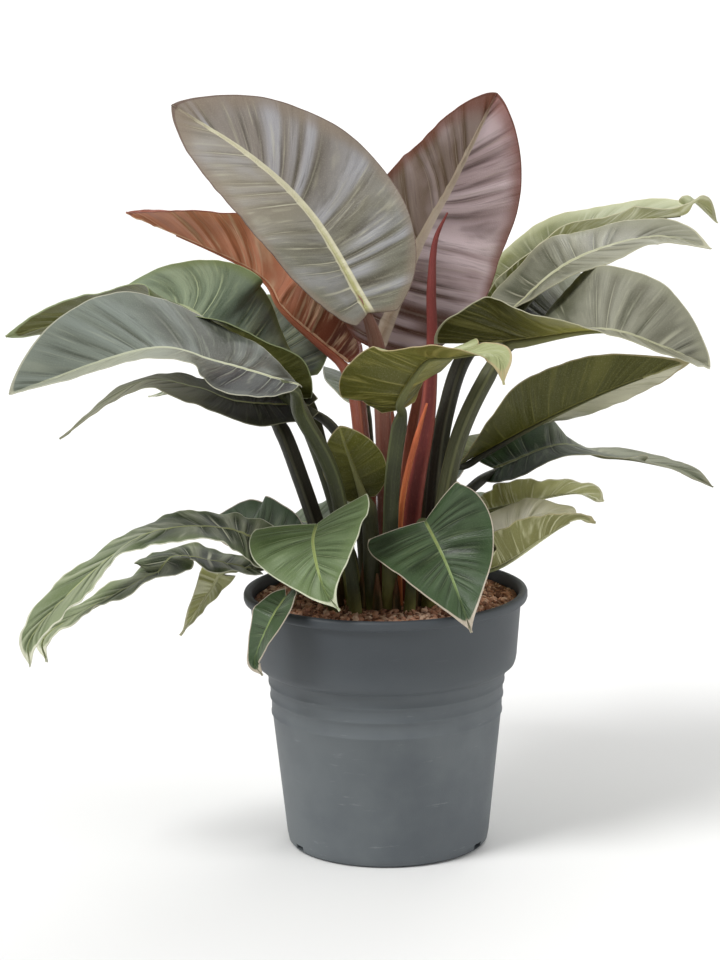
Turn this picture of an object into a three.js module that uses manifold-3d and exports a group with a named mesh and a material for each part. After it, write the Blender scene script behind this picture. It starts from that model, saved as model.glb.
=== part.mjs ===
// A potted imperial red philodendron: a nursery pot of 240 mm, its soil, and a dense
// rosette of long-stalked leaves round a rolled new leaf.
// Millimetres, +Z up. The origin is the centre of the pot's flat underside, +Y points
// to the far side of the plant and +X to its right.
import * as THREE from 'three';
import { mergeVertices } from 'three/addons/utils/BufferGeometryUtils.js';
import Module from 'manifold-3d';

// Pot
const RIM_RADIUS = 120;
const POT_HEIGHT = 220;
const LIP_UNDERSIDE = POT_HEIGHT - 8;
const COLLAR_RADIUS = 114.3;
const COLLAR_FOOT_RADIUS = 110.5;
const STEP_HEIGHT = POT_HEIGHT - 62;
const BODY_RADIUS = 102;
const FOOT_RADIUS = 86;
const POT_WALL = 2.4;
const POT_FLOOR = 3;
const POT_SIDES = 36;
const DRAIN_ANGLES = [28, 152, 208, 332];
const DRAIN_WIDTH = 14;
const DRAIN_HEIGHT = 4;

// Soil
const SOIL_TOP = 211;
const SOIL_RIPPLE = 1.2;
const GAP = 0.3;

// Sockets that the stalks stand in
const SOCKET_FLOOR = 198;
const SOCKET_GAP = 0.38;

// Leaves
const BLADE_THICKNESS = 1;
const TIP_HALF_WIDTH = 1;
const LEAN_WIDTH = 5;
const VEIN_SWEEP = 1.25;
const VEIN_BOW = 0.1;
const BLADE_ROWS = { large: 8, small: 6 };
const BLADE_COLUMNS = { large: 3, small: 2 };
const STALK_SIDES = 5;
const STALK_STEPS = { large: 9, small: 7 };
const GIRTH = {
  stout: [4.6, 6.4, 4.2],
  slim: [3.6, 4.4, 3.2],
  fine: [2.6, 3, 2.2],
};

const COLOURS = {
  mauve: '#8d807d',
  copper: '#9a5b4a',
  grey: '#7f8a80',
  green: '#5f7355',
  dark: '#3c4c3c',
  olive: '#6d6f3c',
  pale: '#98a174',
};

// Each leaf has a foot in the soil, a stalk above it and a spine, which is the blade's
// midrib from the stalk's joint to the tip. The three facing directions are where its upper
// face looks at the base, the middle and the tip. Each fold pair is the lift of the left and
// the right half in degrees at the same three places. lobe is how far the base reaches
// behind the joint, notch opens the base, taper points the tip, and wave is the height, the
// number and the start of the ripples.
const LEAVES = {
  leaf_upper_left: {
    colour: 'mauve', girth: 'stout', width: 146, lobe: 14, notch: 165, taper: 0.29,
    foot: [0, 0], stalk: [[0, 1, 341], [-5, -3, 426]],
    spine: [[-12, -11, 457], [-57, 27, 531], [-106, 39, 580], [-174, 54, 625]],
    facing: [[0.16, -0.94, 0.33], [0.06, -0.92, 0.4], [0.13, -0.94, 0.35]],
    fold: [[39, 3], [37, 6], [16, 7]], wave: [1.5, 4, 0],
  },
  leaf_upper_right: {
    colour: 'mauve', girth: 'stout', width: 148, lobe: 4, notch: 165, taper: 0.18,
    foot: [12, 14], stalk: [[6, 32, 334], [-2, 50, 393]],
    spine: [[-5, 56, 415], [30, 90, 497], [62, 121, 550], [101, 122, 626]],
    facing: [[-0.17, -0.97, 0.23], [-0, -1, -0.07], [-0.02, -0.96, 0.28]],
    fold: [[31, 10], [40, -7], [39, 12]], wave: [2, 4, 1],
  },
  leaf_copper: {
    colour: 'copper', girth: 'stout', width: 126, lobe: 10, notch: 165, taper: 0.3,
    foot: [-8, 22], stalk: [[-18, 46, 334], [-26, 75, 386]],
    spine: [[-30, 84, 400], [-82, 106, 441], [-111, 117, 476], [-220, 126, 526]],
    facing: [[0, 0.25, 0.97], [-0, 0.21, 0.98], [-0, -0.04, 1]],
    fold: [[45, 26], [46, 32], [35, 32]], wave: [1.5, 4, 0],
  },
  leaf_left_green: {
    colour: 'green', girth: 'stout', width: 133, lobe: 12, notch: 170, taper: 0.44,
    foot: [-20, -6], stalk: [[-46, -9, 314], [-72, -2, 381]],
    spine: [[-75, 22, 380], [-137, 24, 436], [-190, 50, 458], [-319, 48, 432]],
    facing: [[-0.04, 0.03, 1], [-0.16, -0.08, 1], [0.02, 0.53, 0.85]],
    fold: [[46, 21], [28, 20], [29, -11]], wave: [2, 4, 0],
  },
  leaf_left_grey: {
    colour: 'grey', girth: 'stout', width: 143, lobe: 1, notch: 170, taper: 0.28,
    foot: [-24, -24], stalk: [[-42, -54, 327], [-68, -86, 388]],
    spine: [[-68, -119, 416], [-134, -100, 432], [-189, -107, 444], [-298, -135, 414]],
    facing: [[-0.08, 0.23, 0.97], [0.03, -0.29, 0.96], [-0.01, -0.74, 0.67]],
    fold: [[-24, -7], [20, 15], [51, 28]], wave: [1.5, 3, 2],
  },
  leaf_left_dark: {
    colour: 'dark', girth: 'slim', width: 85, lobe: 11, notch: 170, taper: 0.58,
    foot: [-14, 6], stalk: [[-28, 20, 325], [-46, 36, 356]],
    spine: [[-64, 41, 370], [-123, 34, 376], [-158, 31, 389], [-207, 31, 393], [-272, 8, 350]],
    facing: [[-0.02, -0.34, 0.94], [-0.08, -0.07, 1], [0.04, 0.27, 0.96]],
    fold: [[2, 12], [-2, -4], [8, 18]], wave: [1.5, 4, 0],
  },
  leaf_left_hidden: {
    colour: 'green', girth: 'stout', width: 84, lobe: 12, notch: 170, taper: 0.5,
    foot: [-34, 6], stalk: [[-70, 16, 310], [-86, 34, 350]],
    spine: [[-95, 48, 366], [-125, 78, 372], [-160, 112, 372], [-205, 140, 362]],
    facing: [[0, -0.17, 0.98], [0, -0.09, 1], [0, 0, 1]],
    fold: [[10, 15], [10, 15], [10, 10]], wave: [1.5, 4, 0],
  },
  leaf_front_arching: {
    colour: 'olive', girth: 'stout', width: 106, lobe: 23, notch: 165, taper: 0.75,
    foot: [2, -34], stalk: [[6, -50, 325], [12, -58, 370]],
    spine: [[15, -60, 384], [14, -77, 397], [33, -95, 429], [50, -122, 437], [88, -133, 440],
      [94, -153, 420]],
    facing: [[0.1, 0.86, 0.5], [0.02, 0.7, 0.71], [0, -0.79, 0.61]],
    fold: [[67, 19], [35, -9], [18, 21]], wave: [1, 3, 0],
  },
  leaf_right_broad: {
    colour: 'grey', girth: 'stout', width: 139, lobe: 57, notch: 172, taper: 0.16,
    foot: [34, -30], stalk: [[60, -38, 350], [86, -38, 408]],
    spine: [[99, -18, 432], [178, -36, 444], [227, -42, 431], [269, -33, 411]],
    facing: [[0.01, 0.52, 0.85], [0.1, -0.49, 0.87], [-0.02, -0.5, 0.87]],
    fold: [[17, 13], [19, 36], [30, 30]], wave: [2, 3, 0],
  },
  leaf_right_grey: {
    colour: 'grey', girth: 'stout', width: 89, lobe: 18, notch: 170, taper: 0.42,
    foot: [34, -4], stalk: [[52, 12, 365], [74, 38, 418]],
    spine: [[99, 51, 437], [159, 53, 488], [232, 83, 505], [279, 55, 498]],
    facing: [[0.08, 0.05, 1], [-0.19, -0.3, 0.95], [-0.08, -0.33, 0.95]],
    fold: [[36, 16], [6, 10], [23, 24]], wave: [1.5, 3, 1],
  },
  leaf_right_yellow: {
    colour: 'pale', girth: 'slim', width: 103, lobe: 6, notch: 170, taper: 0.48,
    foot: [28, 22], stalk: [[48, 58, 349], [74, 93, 410]],
    spine: [[94, 113, 435], [154, 145, 482], [223, 161, 508], [264, 145, 516], [275, 146, 527],
      [295, 156, 507]],
    facing: [[0.01, 0.39, 0.92], [-0.06, 0.22, 0.97], [-0.08, 0.16, 0.99]],
    fold: [[35, 34], [36, 16], [20, 19]], wave: [1.5, 3, 0],
  },
  leaf_right_olive: {
    colour: 'olive', girth: 'slim', width: 102, lobe: 19, notch: 168, taper: 0.43,
    foot: [47, 9], stalk: [[46, 12, 295], [56, 18, 322]],
    spine: [[63, 22, 321], [131, 30, 355], [194, 36, 382], [260, 28, 407]],
    facing: [[0.03, 0.11, 0.99], [0.01, 0.64, 0.77], [0.02, 0.73, 0.69]],
    fold: [[27, 7], [18, 25], [8, 16]], wave: [1, 3, 0],
  },
  leaf_right_dark: {
    colour: 'dark', girth: 'slim', width: 89, lobe: 15, notch: 165, taper: 0.47,
    foot: [44, 38], stalk: [[60, 52, 276], [82, 64, 298]],
    spine: [[96, 84, 305], [152, 80, 326], [189, 96, 313], [217, 115, 306], [261, 115, 295],
      [287, 99, 283]],
    facing: [[-0.02, -0.56, 0.83], [-0.11, -0.11, 0.99], [-0.07, 0.29, 0.96]],
    fold: [[-1, 21], [4, 9], [29, -2]], wave: [1.5, 4, 0],
  },
  leaf_low_right_upper: {
    colour: 'pale', girth: 'fine', width: 64, lobe: 8, notch: 170, taper: 0.4, small: true,
    foot: [58, 14], stalk: [[56, 16, 254]],
    spine: [[83, 17, 282], [100, 22, 285], [160, 21, 296], [187, 36, 285]],
    facing: [[0.02, 0.57, 0.82], [-0.03, 0.43, 0.9], [-0.03, 0.49, 0.87]],
    fold: [[24, 29], [20, 17], [11, 11]], wave: [1.5, 3, 0],
  },
  leaf_low_right_middle: {
    colour: 'pale', girth: 'fine', width: 52, lobe: 7, notch: 170, taper: 0.33, small: true,
    foot: [57, -4], stalk: [[55, 0, 241]],
    spine: [[69, -3, 237], [114, -1, 276], [150, 8, 283], [162, 5, 279]],
    facing: [[-0.01, -0.47, 0.88], [-0.01, -0.45, 0.89], [-0, -0.35, 0.94]],
    fold: [[8, 20], [8, 20], [11, 10]], wave: [1.5, 3, 2],
  },
  leaf_low_right_front: {
    colour: 'olive', girth: 'fine', width: 67, lobe: 6, notch: 170, taper: 0.45, small: true,
    foot: [50, -22], stalk: [[55, -52, 236]],
    spine: [[67, -72, 251], [97, -61, 254], [151, -68, 290], [173, -61, 287]],
    facing: [[0.04, 0.39, 0.92], [0.05, 0.47, 0.88], [-0.07, 0.31, 0.95]],
    fold: [[26, 18], [27, 28], [11, 10]], wave: [1.5, 3, 1],
  },
  leaf_front_right: {
    colour: 'green', girth: 'slim', width: 107, lobe: 25, notch: 134, taper: 0.82,
    foot: [18, -44], stalk: [[24, -52, 268], [30, -58, 288]],
    spine: [[33, -66, 292], [48, -90, 264], [60, -111, 235], [68, -129, 213]],
    facing: [[-0.52, -0.76, 0.65], [-0.24, -0.78, 0.63], [-0.21, -0.97, 0.24]],
    fold: [[28, 20], [0, 27], [9, 7]], wave: [1.5, 3, 0],
  },
  leaf_front_left: {
    colour: 'green', girth: 'slim', width: 114, lobe: 20, notch: 134, taper: 0.96,
    foot: [-24, -46], stalk: [[-34, -50, 273], [-46, -60, 290]],
    spine: [[-56, -68, 291], [-59, -90, 278], [-51, -116, 249], [-38, -127, 232]],
    facing: [[-0.55, -0.65, 0.76], [-0.43, -0.83, 0.56], [-0.21, -0.95, 0.32]],
    fold: [[12, 12], [8, 12], [12, 10]], wave: [1.5, 3, 1],
  },
  leaf_over_rim: {
    colour: 'green', girth: 'fine', width: 36, lobe: 10, notch: 168, taper: 0.48, small: true,
    foot: [-40, -44], stalk: [[-52, -66, 236], [-66, -82, 242]],
    spine: [[-82, -88, 235], [-94, -110, 221], [-108, -96, 184], [-102, -105, 173]],
    facing: [[-0.42, -0.64, 0.77], [-0.4, -0.72, 0.69], [-0.42, -0.7, 0.71]],
    fold: [[28, 11], [18, 21], [22, 17]], wave: [0.5, 3, 0],
  },
  leaf_low_left_pale: {
    colour: 'pale', girth: 'fine', width: 32, lobe: 9, notch: 168, taper: 0.67, small: true,
    foot: [-58, 14], stalk: [[-74, 15, 238], [-110, 20, 250]],
    spine: [[-124, 18, 236], [-139, 10, 234], [-146, 11, 222], [-174, -1, 181]],
    facing: [[0.28, 0.43, 0.9], [0.29, 0.56, 0.83], [0.26, 0.54, 0.84]],
    fold: [[14, 17], [13, 20], [12, 15]], wave: [1, 3, 0],
  },
  leaf_low_left_front: {
    colour: 'green', girth: 'slim', width: 79, lobe: 11, notch: 168, taper: 0.4,
    foot: [-44, -26], stalk: [[-56, -34, 248], [-78, -42, 262]],
    spine: [[-89, -45, 263], [-130, -59, 286], [-185, -85, 291], [-226, -88, 269],
      [-286, -102, 213], [-291, -114, 185]],
    facing: [[-0.21, -0.5, 0.87], [-0.09, 0.07, 1], [-0.49, -0.86, 0.51]],
    fold: [[-20, 12], [-3, 6], [10, 18]], wave: [2.5, 4, 0],
  },
  leaf_low_left_twisted: {
    colour: 'grey', girth: 'fine', width: 52, lobe: 11, notch: 168, taper: 0.53,
    foot: [-52, -6], stalk: [[-64, -10, 232], [-88, -12, 244]],
    spine: [[-111, -17, 242], [-172, -26, 256], [-189, -49, 248], [-209, -54, 239],
      [-280, -52, 197], [-281, -76, 179]],
    facing: [[-0.13, -0.25, 0.97], [-0.21, 0, 1], [-0.34, -0.61, 0.79]],
    fold: [[4, 5], [-1, 13], [22, 15]], wave: [3, 5, 0],
  },
  leaf_low_left_humped: {
    colour: 'green', girth: 'fine', width: 69, lobe: 6, notch: 168, taper: 0.48,
    foot: [-46, 16], stalk: [[-54, 17, 246]],
    spine: [[-76, 20, 252], [-115, 48, 258], [-126, 80, 258], [-160, 110, 255]],
    facing: [[-0, -0.51, 0.86], [-0.03, -0.48, 0.88], [0, -0.34, 0.94]],
    fold: [[20, 36], [20, 41], [20, 20]], wave: [1.5, 3, 0],
  },
  leaf_centre_folded: {
    colour: 'olive', girth: 'stout', width: 54, lobe: 4, notch: 165, taper: 0.2, small: true,
    foot: [-12, -30], stalk: [[-12, -30, 270], [-14, -28, 296]],
    spine: [[-17, -28, 305], [-24, -30, 325], [-32, -30, 348], [-37, -22, 364]],
    facing: [[0, 0.97, 0.26], [0, 0.97, 0.26], [0, 0.98, 0.17]],
    fold: [[10, 10], [10, 10], [10, 10]], wave: [0.5, 3, 0],
  },
  leaf_back_upright: {
    colour: 'mauve', girth: 'slim', width: 94, lobe: 12, notch: 168, taper: 0.3,
    foot: [6, 34], stalk: [[24, 62, 340], [38, 100, 396]],
    spine: [[38, 118, 412], [32, 152, 450], [20, 186, 495], [4, 212, 530]],
    facing: [[0, -0.94, 0.34], [0, -0.94, 0.34], [0, -0.87, 0.5]],
    fold: [[15, 15], [15, 15], [15, 15]], wave: [1.5, 4, 0],
  },
  leaf_back_left: {
    colour: 'green', girth: 'slim', width: 118, lobe: 12, notch: 168, taper: 0.4,
    foot: [-28, 30], stalk: [[-46, 54, 300], [-62, 80, 362]],
    spine: [[-74, 98, 385], [-110, 138, 408], [-155, 182, 415], [-215, 222, 398]],
    facing: [[0, -0.17, 0.98], [0, -0.26, 0.97], [0, -0.17, 0.98]],
    fold: [[20, 20], [20, 20], [15, 15]], wave: [1.5, 4, 1],
  },
  leaf_back_right: {
    colour: 'grey', girth: 'slim', width: 110, lobe: 12, notch: 168, taper: 0.4,
    foot: [24, 36], stalk: [[60, 64, 325], [98, 90, 398]],
    spine: [[114, 104, 414], [162, 142, 432], [208, 180, 438], [258, 218, 424]],
    facing: [[0, -0.17, 0.98], [0, -0.17, 0.98], [0, -0.17, 0.98]],
    fold: [[20, 20], [20, 20], [15, 15]], wave: [1.5, 4, 0],
  },
  leaf_back_low: {
    colour: 'dark', girth: 'slim', width: 112, lobe: 14, notch: 168, taper: 0.5,
    foot: [10, 50], stalk: [[14, 60, 268]],
    spine: [[15, 75, 280], [20, 115, 285], [20, 165, 270], [25, 205, 235]],
    facing: [[0, -0.3, 0.95], [0, 0, 1], [0, 0.5, 0.86]],
    fold: [[20, 20], [20, 20], [15, 15]], wave: [1.5, 4, 0],
  },
  leaf_back_low_left: {
    colour: 'green', girth: 'slim', width: 84, lobe: 12, notch: 168, taper: 0.5,
    foot: [-24, 46], stalk: [[-30, 52, 240]],
    spine: [[-40, 60, 255], [-65, 100, 255], [-90, 140, 245], [-115, 175, 220]],
    facing: [[0, -0.17, 0.98], [0, -0.17, 0.98], [0, -0.17, 0.98]],
    fold: [[20, 20], [20, 20], [15, 15]], wave: [1.5, 4, 2],
  },
  leaf_back_low_right: {
    colour: 'green', girth: 'slim', width: 84, lobe: 12, notch: 168, taper: 0.5,
    foot: [36, 50], stalk: [[50, 60, 242]],
    spine: [[60, 70, 255], [95, 110, 255], [125, 150, 250], [160, 185, 230]],
    facing: [[0, -0.17, 0.98], [0, -0.17, 0.98], [0, -0.17, 0.98]],
    fold: [[20, 20], [20, 20], [15, 15]], wave: [1.5, 4, 1],
  },
  leaf_back_middle: {
    colour: 'green', girth: 'slim', width: 84, lobe: 14, notch: 168, taper: 0.5,
    foot: [-10, 40], stalk: [[-12, 60, 318], [-14, 76, 350]],
    spine: [[-14, 88, 362], [-12, 132, 372], [-10, 180, 362], [-8, 222, 340]],
    facing: [[0, -0.3, 0.95], [0, 0, 1], [0, 0.5, 0.86]],
    fold: [[25, 25], [20, 20], [15, 15]], wave: [1.5, 4, 1],
  },
};

// Rolled leaf and dry sheaths: a foot, the path above it to the tip, and the half width at
// the foot and at each point of the path.
const SPIKES = {
  new_leaf: {
    colour: '#9c4038', sides: 8, steps: 24,
    foot: [16, -8],
    path: [[20, -10, 265], [26, -10, 315], [36, -5, 365], [41, 0, 430], [41, 5, 475],
      [45, 10, 515], [55, 10, 537]],
    girth: [7, 8.5, 8.5, 7, 4.6, 4, 2.2, 0.7],
  },
  sheath_orange: {
    colour: '#d0663a', sides: 6, steps: 8,
    foot: [12, -24],
    path: [[12, -27, 270], [16, -25, 310], [26, -23, 350], [36, -20, 382]],
    girth: [2.4, 2.4, 2.6, 2.6, 1],
  },
  sheath_red: {
    colour: '#6d2b2b', sides: 6, steps: 8,
    foot: [46, 24],
    path: [[50, 32, 255], [53, 37, 290], [57, 44, 326]],
    girth: [2, 2.2, 2.2, 0.8],
  },
};

const wasm = await Module();
wasm.setup();

const toVector = (p) => new THREE.Vector3(...p);
const fromFoot = ([x, y], points) => [new THREE.Vector3(x, y, SOCKET_FLOOR), ...points.map(toVector)];

function paint(colour, roughness) {
  return new THREE.MeshStandardMaterial({ color: colour, roughness, metalness: 0 });
}

// Solids for joining and cutting

function toSolid(geometry) {
  const bare = geometry.clone();
  bare.deleteAttribute('normal');
  bare.deleteAttribute('uv');
  const merged = mergeVertices(bare, 1e-4);
  const vertProperties = new Float32Array(merged.attributes.position.array);
  const triVerts = new Uint32Array(merged.index.array);
  return new wasm.Manifold(new wasm.Mesh({ numProp: 3, vertProperties, triVerts }));
}

function toGeometry(solid) {
  const mesh = solid.getMesh();
  const geometry = new THREE.BufferGeometry();
  geometry.setAttribute('position', new THREE.BufferAttribute(new Float32Array(mesh.vertProperties), 3));
  geometry.setIndex(new THREE.BufferAttribute(new Uint32Array(mesh.triVerts), 1));
  geometry.computeVertexNormals();
  return geometry;
}

// Stalks

// A capped cylinder bent along a path. girth holds its radius at each point of the path,
// and grow is added to it all round.
function bentRod(points, girth, sides, steps, grow = 0) {
  const path = new THREE.CatmullRomCurve3(points, false, 'centripetal');
  const frames = path.computeFrenetFrames(steps, false);
  const rod = new THREE.CylinderGeometry(1, 1, 1, sides, steps);
  const position = rod.attributes.position;
  const place = new THREE.Vector3();
  const spans = points.length - 1;
  for (let i = 0; i < position.count; i += 1) {
    const along = THREE.MathUtils.clamp(0.5 - position.getY(i), 0, 1);
    const ring = Math.round(along * steps);
    const t = path.getUtoTmapping(ring / steps);
    const span = Math.min(Math.floor(t * spans), spans - 1);
    const radius = THREE.MathUtils.lerp(girth[span], girth[span + 1], t * spans - span) + grow;
    path.getPoint(t, place);
    if (ring === 0) {
      place.addScaledVector(frames.tangents[0], -grow);
    }
    place.addScaledVector(frames.normals[ring], position.getX(i) * radius);
    place.addScaledVector(frames.binormals[ring], position.getZ(i) * radius);
    position.setXYZ(i, place.x, place.y, place.z);
  }
  return rod;
}

// Blades

// A smooth value through a, b and c at 0, 1/2 and 1.
function blend(a, b, c, q) {
  return a * 2 * (q - 0.5) * (q - 1) - b * 4 * q * (q - 1) + c * 2 * q * (q - 0.5);
}

// A point of a blade and the direction that its upper face looks there. row runs from the
// notch at 0 to the tip at 1, and column from the left margin at -1 to the right at 1.
function bladeAt(leaf, row, column) {
  const { curve, length } = leaf;
  const side = column < 0 ? -1 : 1;
  const half = column < 0 ? 0 : 1;
  const v = Math.abs(column);

  const reach = (length + leaf.lobe) / 2;
  const angle = THREE.MathUtils.degToRad(leaf.notch) * (1 - row);
  const marginX = (length - leaf.lobe) / 2 + reach * Math.cos(angle);
  const bulge = Math.sin(angle) * ((1 - Math.cos(angle)) / 2) ** leaf.taper / leaf.peak;
  const marginY = Math.max(leaf.width / 2 * bulge, TIP_HALF_WIDTH);
  const veinX = length * row ** VEIN_SWEEP;
  const x = veinX + (marginX - veinX) * v - VEIN_BOW * marginY * v * (1 - v);
  const y = marginY * v;

  const q = THREE.MathUtils.clamp(x / length, 0, 1);
  const tangent = curve.getTangentAt(q);
  const place = curve.getPointAt(q).addScaledVector(tangent, x - q * length);
  const [base, middle, end] = leaf.facing;
  const normal = new THREE.Vector3(...[0, 1, 2].map((k) => blend(base[k], middle[k], end[k], q)));
  normal.addScaledVector(tangent, -normal.dot(tangent)).normalize();
  const across = new THREE.Vector3().crossVectors(tangent, normal).multiplyScalar(side);

  const [atBase, atMiddle, atTip] = leaf.fold.map((pair) => pair[half]);
  const lift = THREE.MathUtils.degToRad(blend(atBase, atMiddle, atTip, q));
  const [height, count, start] = leaf.wave;
  const phase = 2 * Math.PI * count * x / length + start + half * 1.3;
  const ripple = height * Math.sin(phase) * (2 * y / leaf.width) ** 2;
  place.addScaledVector(across, y * Math.cos(lift));
  place.addScaledVector(normal, y * Math.sin(lift) + ripple);
  const lean = lift * Math.min(1, y / LEAN_WIDTH);
  normal.multiplyScalar(Math.cos(lean)).addScaledVector(across, -Math.sin(lean));
  return { place, normal };
}

// The thin closed slab of a blade: one sheet of triangles for the upper face, the same
// sheet below it, and a rim round both.
function bladeSlab(leaf) {
  const size = leaf.small ? 'small' : 'large';
  const rows = BLADE_ROWS[size];
  const columns = BLADE_COLUMNS[size] * 2;
  const sheet = new THREE.PlaneGeometry(2, 1, columns, rows);
  const upper = sheet.attributes.position;
  const sheetPoints = upper.count;
  const points = new Float32Array(sheetPoints * 6);
  for (let i = 0; i < sheetPoints; i += 1) {
    const { place, normal } = bladeAt(leaf, 0.5 - upper.getY(i), upper.getX(i));
    const top = place.clone().addScaledVector(normal, BLADE_THICKNESS / 2);
    const under = place.clone().addScaledVector(normal, -BLADE_THICKNESS / 2);
    points.set(top.toArray(), i * 3);
    points.set(under.toArray(), (i + sheetPoints) * 3);
  }
  const faces = [];
  const sheetFaces = sheet.index.array;
  for (let i = 0; i < sheetFaces.length; i += 3) {
    const [a, b, c] = sheetFaces.slice(i, i + 3);
    faces.push(a, c, b);
    faces.push(a + sheetPoints, b + sheetPoints, c + sheetPoints);
  }
  const rim = rimOf(rows, columns);
  rim.forEach((a, i) => {
    const b = rim[(i + 1) % rim.length];
    faces.push(b, a, a + sheetPoints);
    faces.push(b, a + sheetPoints, b + sheetPoints);
  });
  const slab = new THREE.BufferGeometry();
  slab.setAttribute('position', new THREE.BufferAttribute(points, 3));
  slab.setIndex(faces);
  return slab;
}

// The sheet's border points in order.
function rimOf(rows, columns) {
  const at = (row, column) => row * (columns + 1) + column;
  const rim = [];
  for (let column = 0; column < columns; column += 1) {
    rim.push(at(0, column));
  }
  for (let row = 0; row < rows; row += 1) {
    rim.push(at(row, columns));
  }
  for (let column = columns; column > 0; column -= 1) {
    rim.push(at(rows, column));
  }
  for (let row = rows; row > 0; row -= 1) {
    rim.push(at(row, 0));
  }
  return rim;
}

// The stalk with the midrib that carries it on along the blade's underside.
function stalkOf(leaf, grow = 0) {
  const [foot, middle, joint] = GIRTH[leaf.girth];
  const points = fromFoot(leaf.foot, leaf.stalk);
  const girth = points.map((p, i) => (i === 0 ? foot : middle));
  for (const [reach, radius] of [[0.02, joint], [0.25, joint * 0.6], [0.5, 0.9]]) {
    const { place, normal } = bladeAt(leaf, reach ** (1 / VEIN_SWEEP), 0);
    points.push(place.addScaledVector(normal, 0.3 - radius));
    girth.push(radius);
  }
  const steps = STALK_STEPS[leaf.small ? 'small' : 'large'];
  return bentRod(points, girth, STALK_SIDES, steps, grow);
}

function prepare(leaf) {
  const curve = new THREE.CatmullRomCurve3(leaf.spine.map(toVector), false, 'catmullrom', 0.5);
  let peak = 0;
  for (let angle = 0; angle <= Math.PI; angle += Math.PI / 180) {
    peak = Math.max(peak, Math.sin(angle) * ((1 - Math.cos(angle)) / 2) ** leaf.taper);
  }
  return { ...leaf, curve, length: curve.getLength(), peak };
}

function leafSolid(leaf) {
  return toSolid(bladeSlab(leaf)).add(toSolid(stalkOf(leaf)));
}

// Pot and soil

// The pot's inner face at a given depth under the outer one, from the floor to the lip.
function innerWall(depth) {
  return [
    [FOOT_RADIUS - 7 - depth, POT_FLOOR],
    [BODY_RADIUS - 4.5 - depth, STEP_HEIGHT - 20],
    [COLLAR_FOOT_RADIUS - 2 - depth, STEP_HEIGHT + 8],
    [COLLAR_RADIUS - depth, LIP_UNDERSIDE - 3],
  ];
}

function potSolid() {
  const outer = [
    [0, 0],
    [FOOT_RADIUS - 7, 0],
    [FOOT_RADIUS - 2, 2.5],
    [FOOT_RADIUS, 8],
    [BODY_RADIUS - 4.5, STEP_HEIGHT - 40],
    [BODY_RADIUS - 3.5, STEP_HEIGHT - 26],
    [BODY_RADIUS - 1.5, STEP_HEIGHT - 16],
    [BODY_RADIUS + 1.6, STEP_HEIGHT - 4],
    [COLLAR_FOOT_RADIUS, STEP_HEIGHT + 4],
    [COLLAR_RADIUS, LIP_UNDERSIDE - 3],
    [RIM_RADIUS - 0.6, LIP_UNDERSIDE],
    [RIM_RADIUS, LIP_UNDERSIDE + 2],
    [RIM_RADIUS, POT_HEIGHT - 2],
    [RIM_RADIUS - 2, POT_HEIGHT],
    [RIM_RADIUS - 5, POT_HEIGHT],
    [RIM_RADIUS - 7, POT_HEIGHT - 2],
  ];
  const inner = [
    ...innerWall(POT_WALL).reverse(),
    [0, POT_FLOOR],
  ];
  const profile = [...outer, ...inner].map(([r, z]) => new THREE.Vector2(r, z));
  let pot = toSolid(new THREE.LatheGeometry(profile, POT_SIDES).rotateX(Math.PI / 2));
  for (const degrees of DRAIN_ANGLES) {
    const slot = new THREE.BoxGeometry(16, DRAIN_WIDTH, DRAIN_HEIGHT);
    slot.translate(FOOT_RADIUS - 1, 0, POT_FLOOR + DRAIN_HEIGHT / 2);
    slot.rotateZ(THREE.MathUtils.degToRad(degrees));
    pot = pot.subtract(toSolid(slot));
  }
  return pot;
}

function soilSolid(stalks) {
  const [foot, knee, step] = innerWall(POT_WALL + GAP);
  const profile = [
    [0, POT_FLOOR + GAP],
    [foot[0], POT_FLOOR + GAP],
    knee,
    step,
    [step[0] + 3, SOIL_TOP - 3],
    [96, SOIL_TOP],
    [72, SOIL_TOP + 0.5],
    [0, SOIL_TOP + 1.5],
  ].map(([r, z]) => new THREE.Vector2(r, z));
  const body = new THREE.LatheGeometry(profile, POT_SIDES).rotateX(Math.PI / 2);
  const position = body.attributes.position;
  for (let i = 0; i < position.count; i += 1) {
    const x = position.getX(i);
    const y = position.getY(i);
    const z = position.getZ(i);
    if (z > SOIL_TOP - 1) {
      position.setZ(i, z + SOIL_RIPPLE * Math.sin(x * 0.21 + 1) * Math.cos(y * 0.17));
    }
  }
  return stalks.reduce((soil, stalk) => soil.subtract(stalk), toSolid(body));
}

// The plant

const plant = new THREE.Group();

function addPart(name, solid, material) {
  const mesh = new THREE.Mesh(toGeometry(solid), material);
  mesh.name = name;
  plant.add(mesh);
}

const sockets = [];

for (const [name, spec] of Object.entries(LEAVES)) {
  const leaf = prepare(spec);
  addPart(name, leafSolid(leaf), paint(COLOURS[leaf.colour], 0.45));
  sockets.push(toSolid(stalkOf(leaf, SOCKET_GAP)));
}

for (const [name, { colour, sides, steps, foot, path, girth }] of Object.entries(SPIKES)) {
  const points = fromFoot(foot, path);
  addPart(name, toSolid(bentRod(points, girth, sides, steps)), paint(colour, 0.5));
  sockets.push(toSolid(bentRod(points, girth, sides, steps, SOCKET_GAP)));
}

addPart('pot', potSolid(), paint('#5c6167', 0.6));
addPart('soil', soilSolid(sockets), paint('#5a3a2c', 0.95));

export default plant;
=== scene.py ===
"""Dresses a potted imperial red philodendron: its leaves, stalks, pot and bark soil.

Each leaf follows the plan that its solid in the frame has: a foot in the soil, a stalk, and
a blade whose midrib is a smooth spine. Plans are in millimetres, and meshes in metres.
"""

import logging
import math
import random
from bisect import bisect_right
from collections.abc import Iterable
from dataclasses import dataclass, replace
from enum import Enum
from functools import cache, reduce
from typing import Union

import bmesh
import bpy
from mathutils import Matrix, Vector, noise


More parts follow.
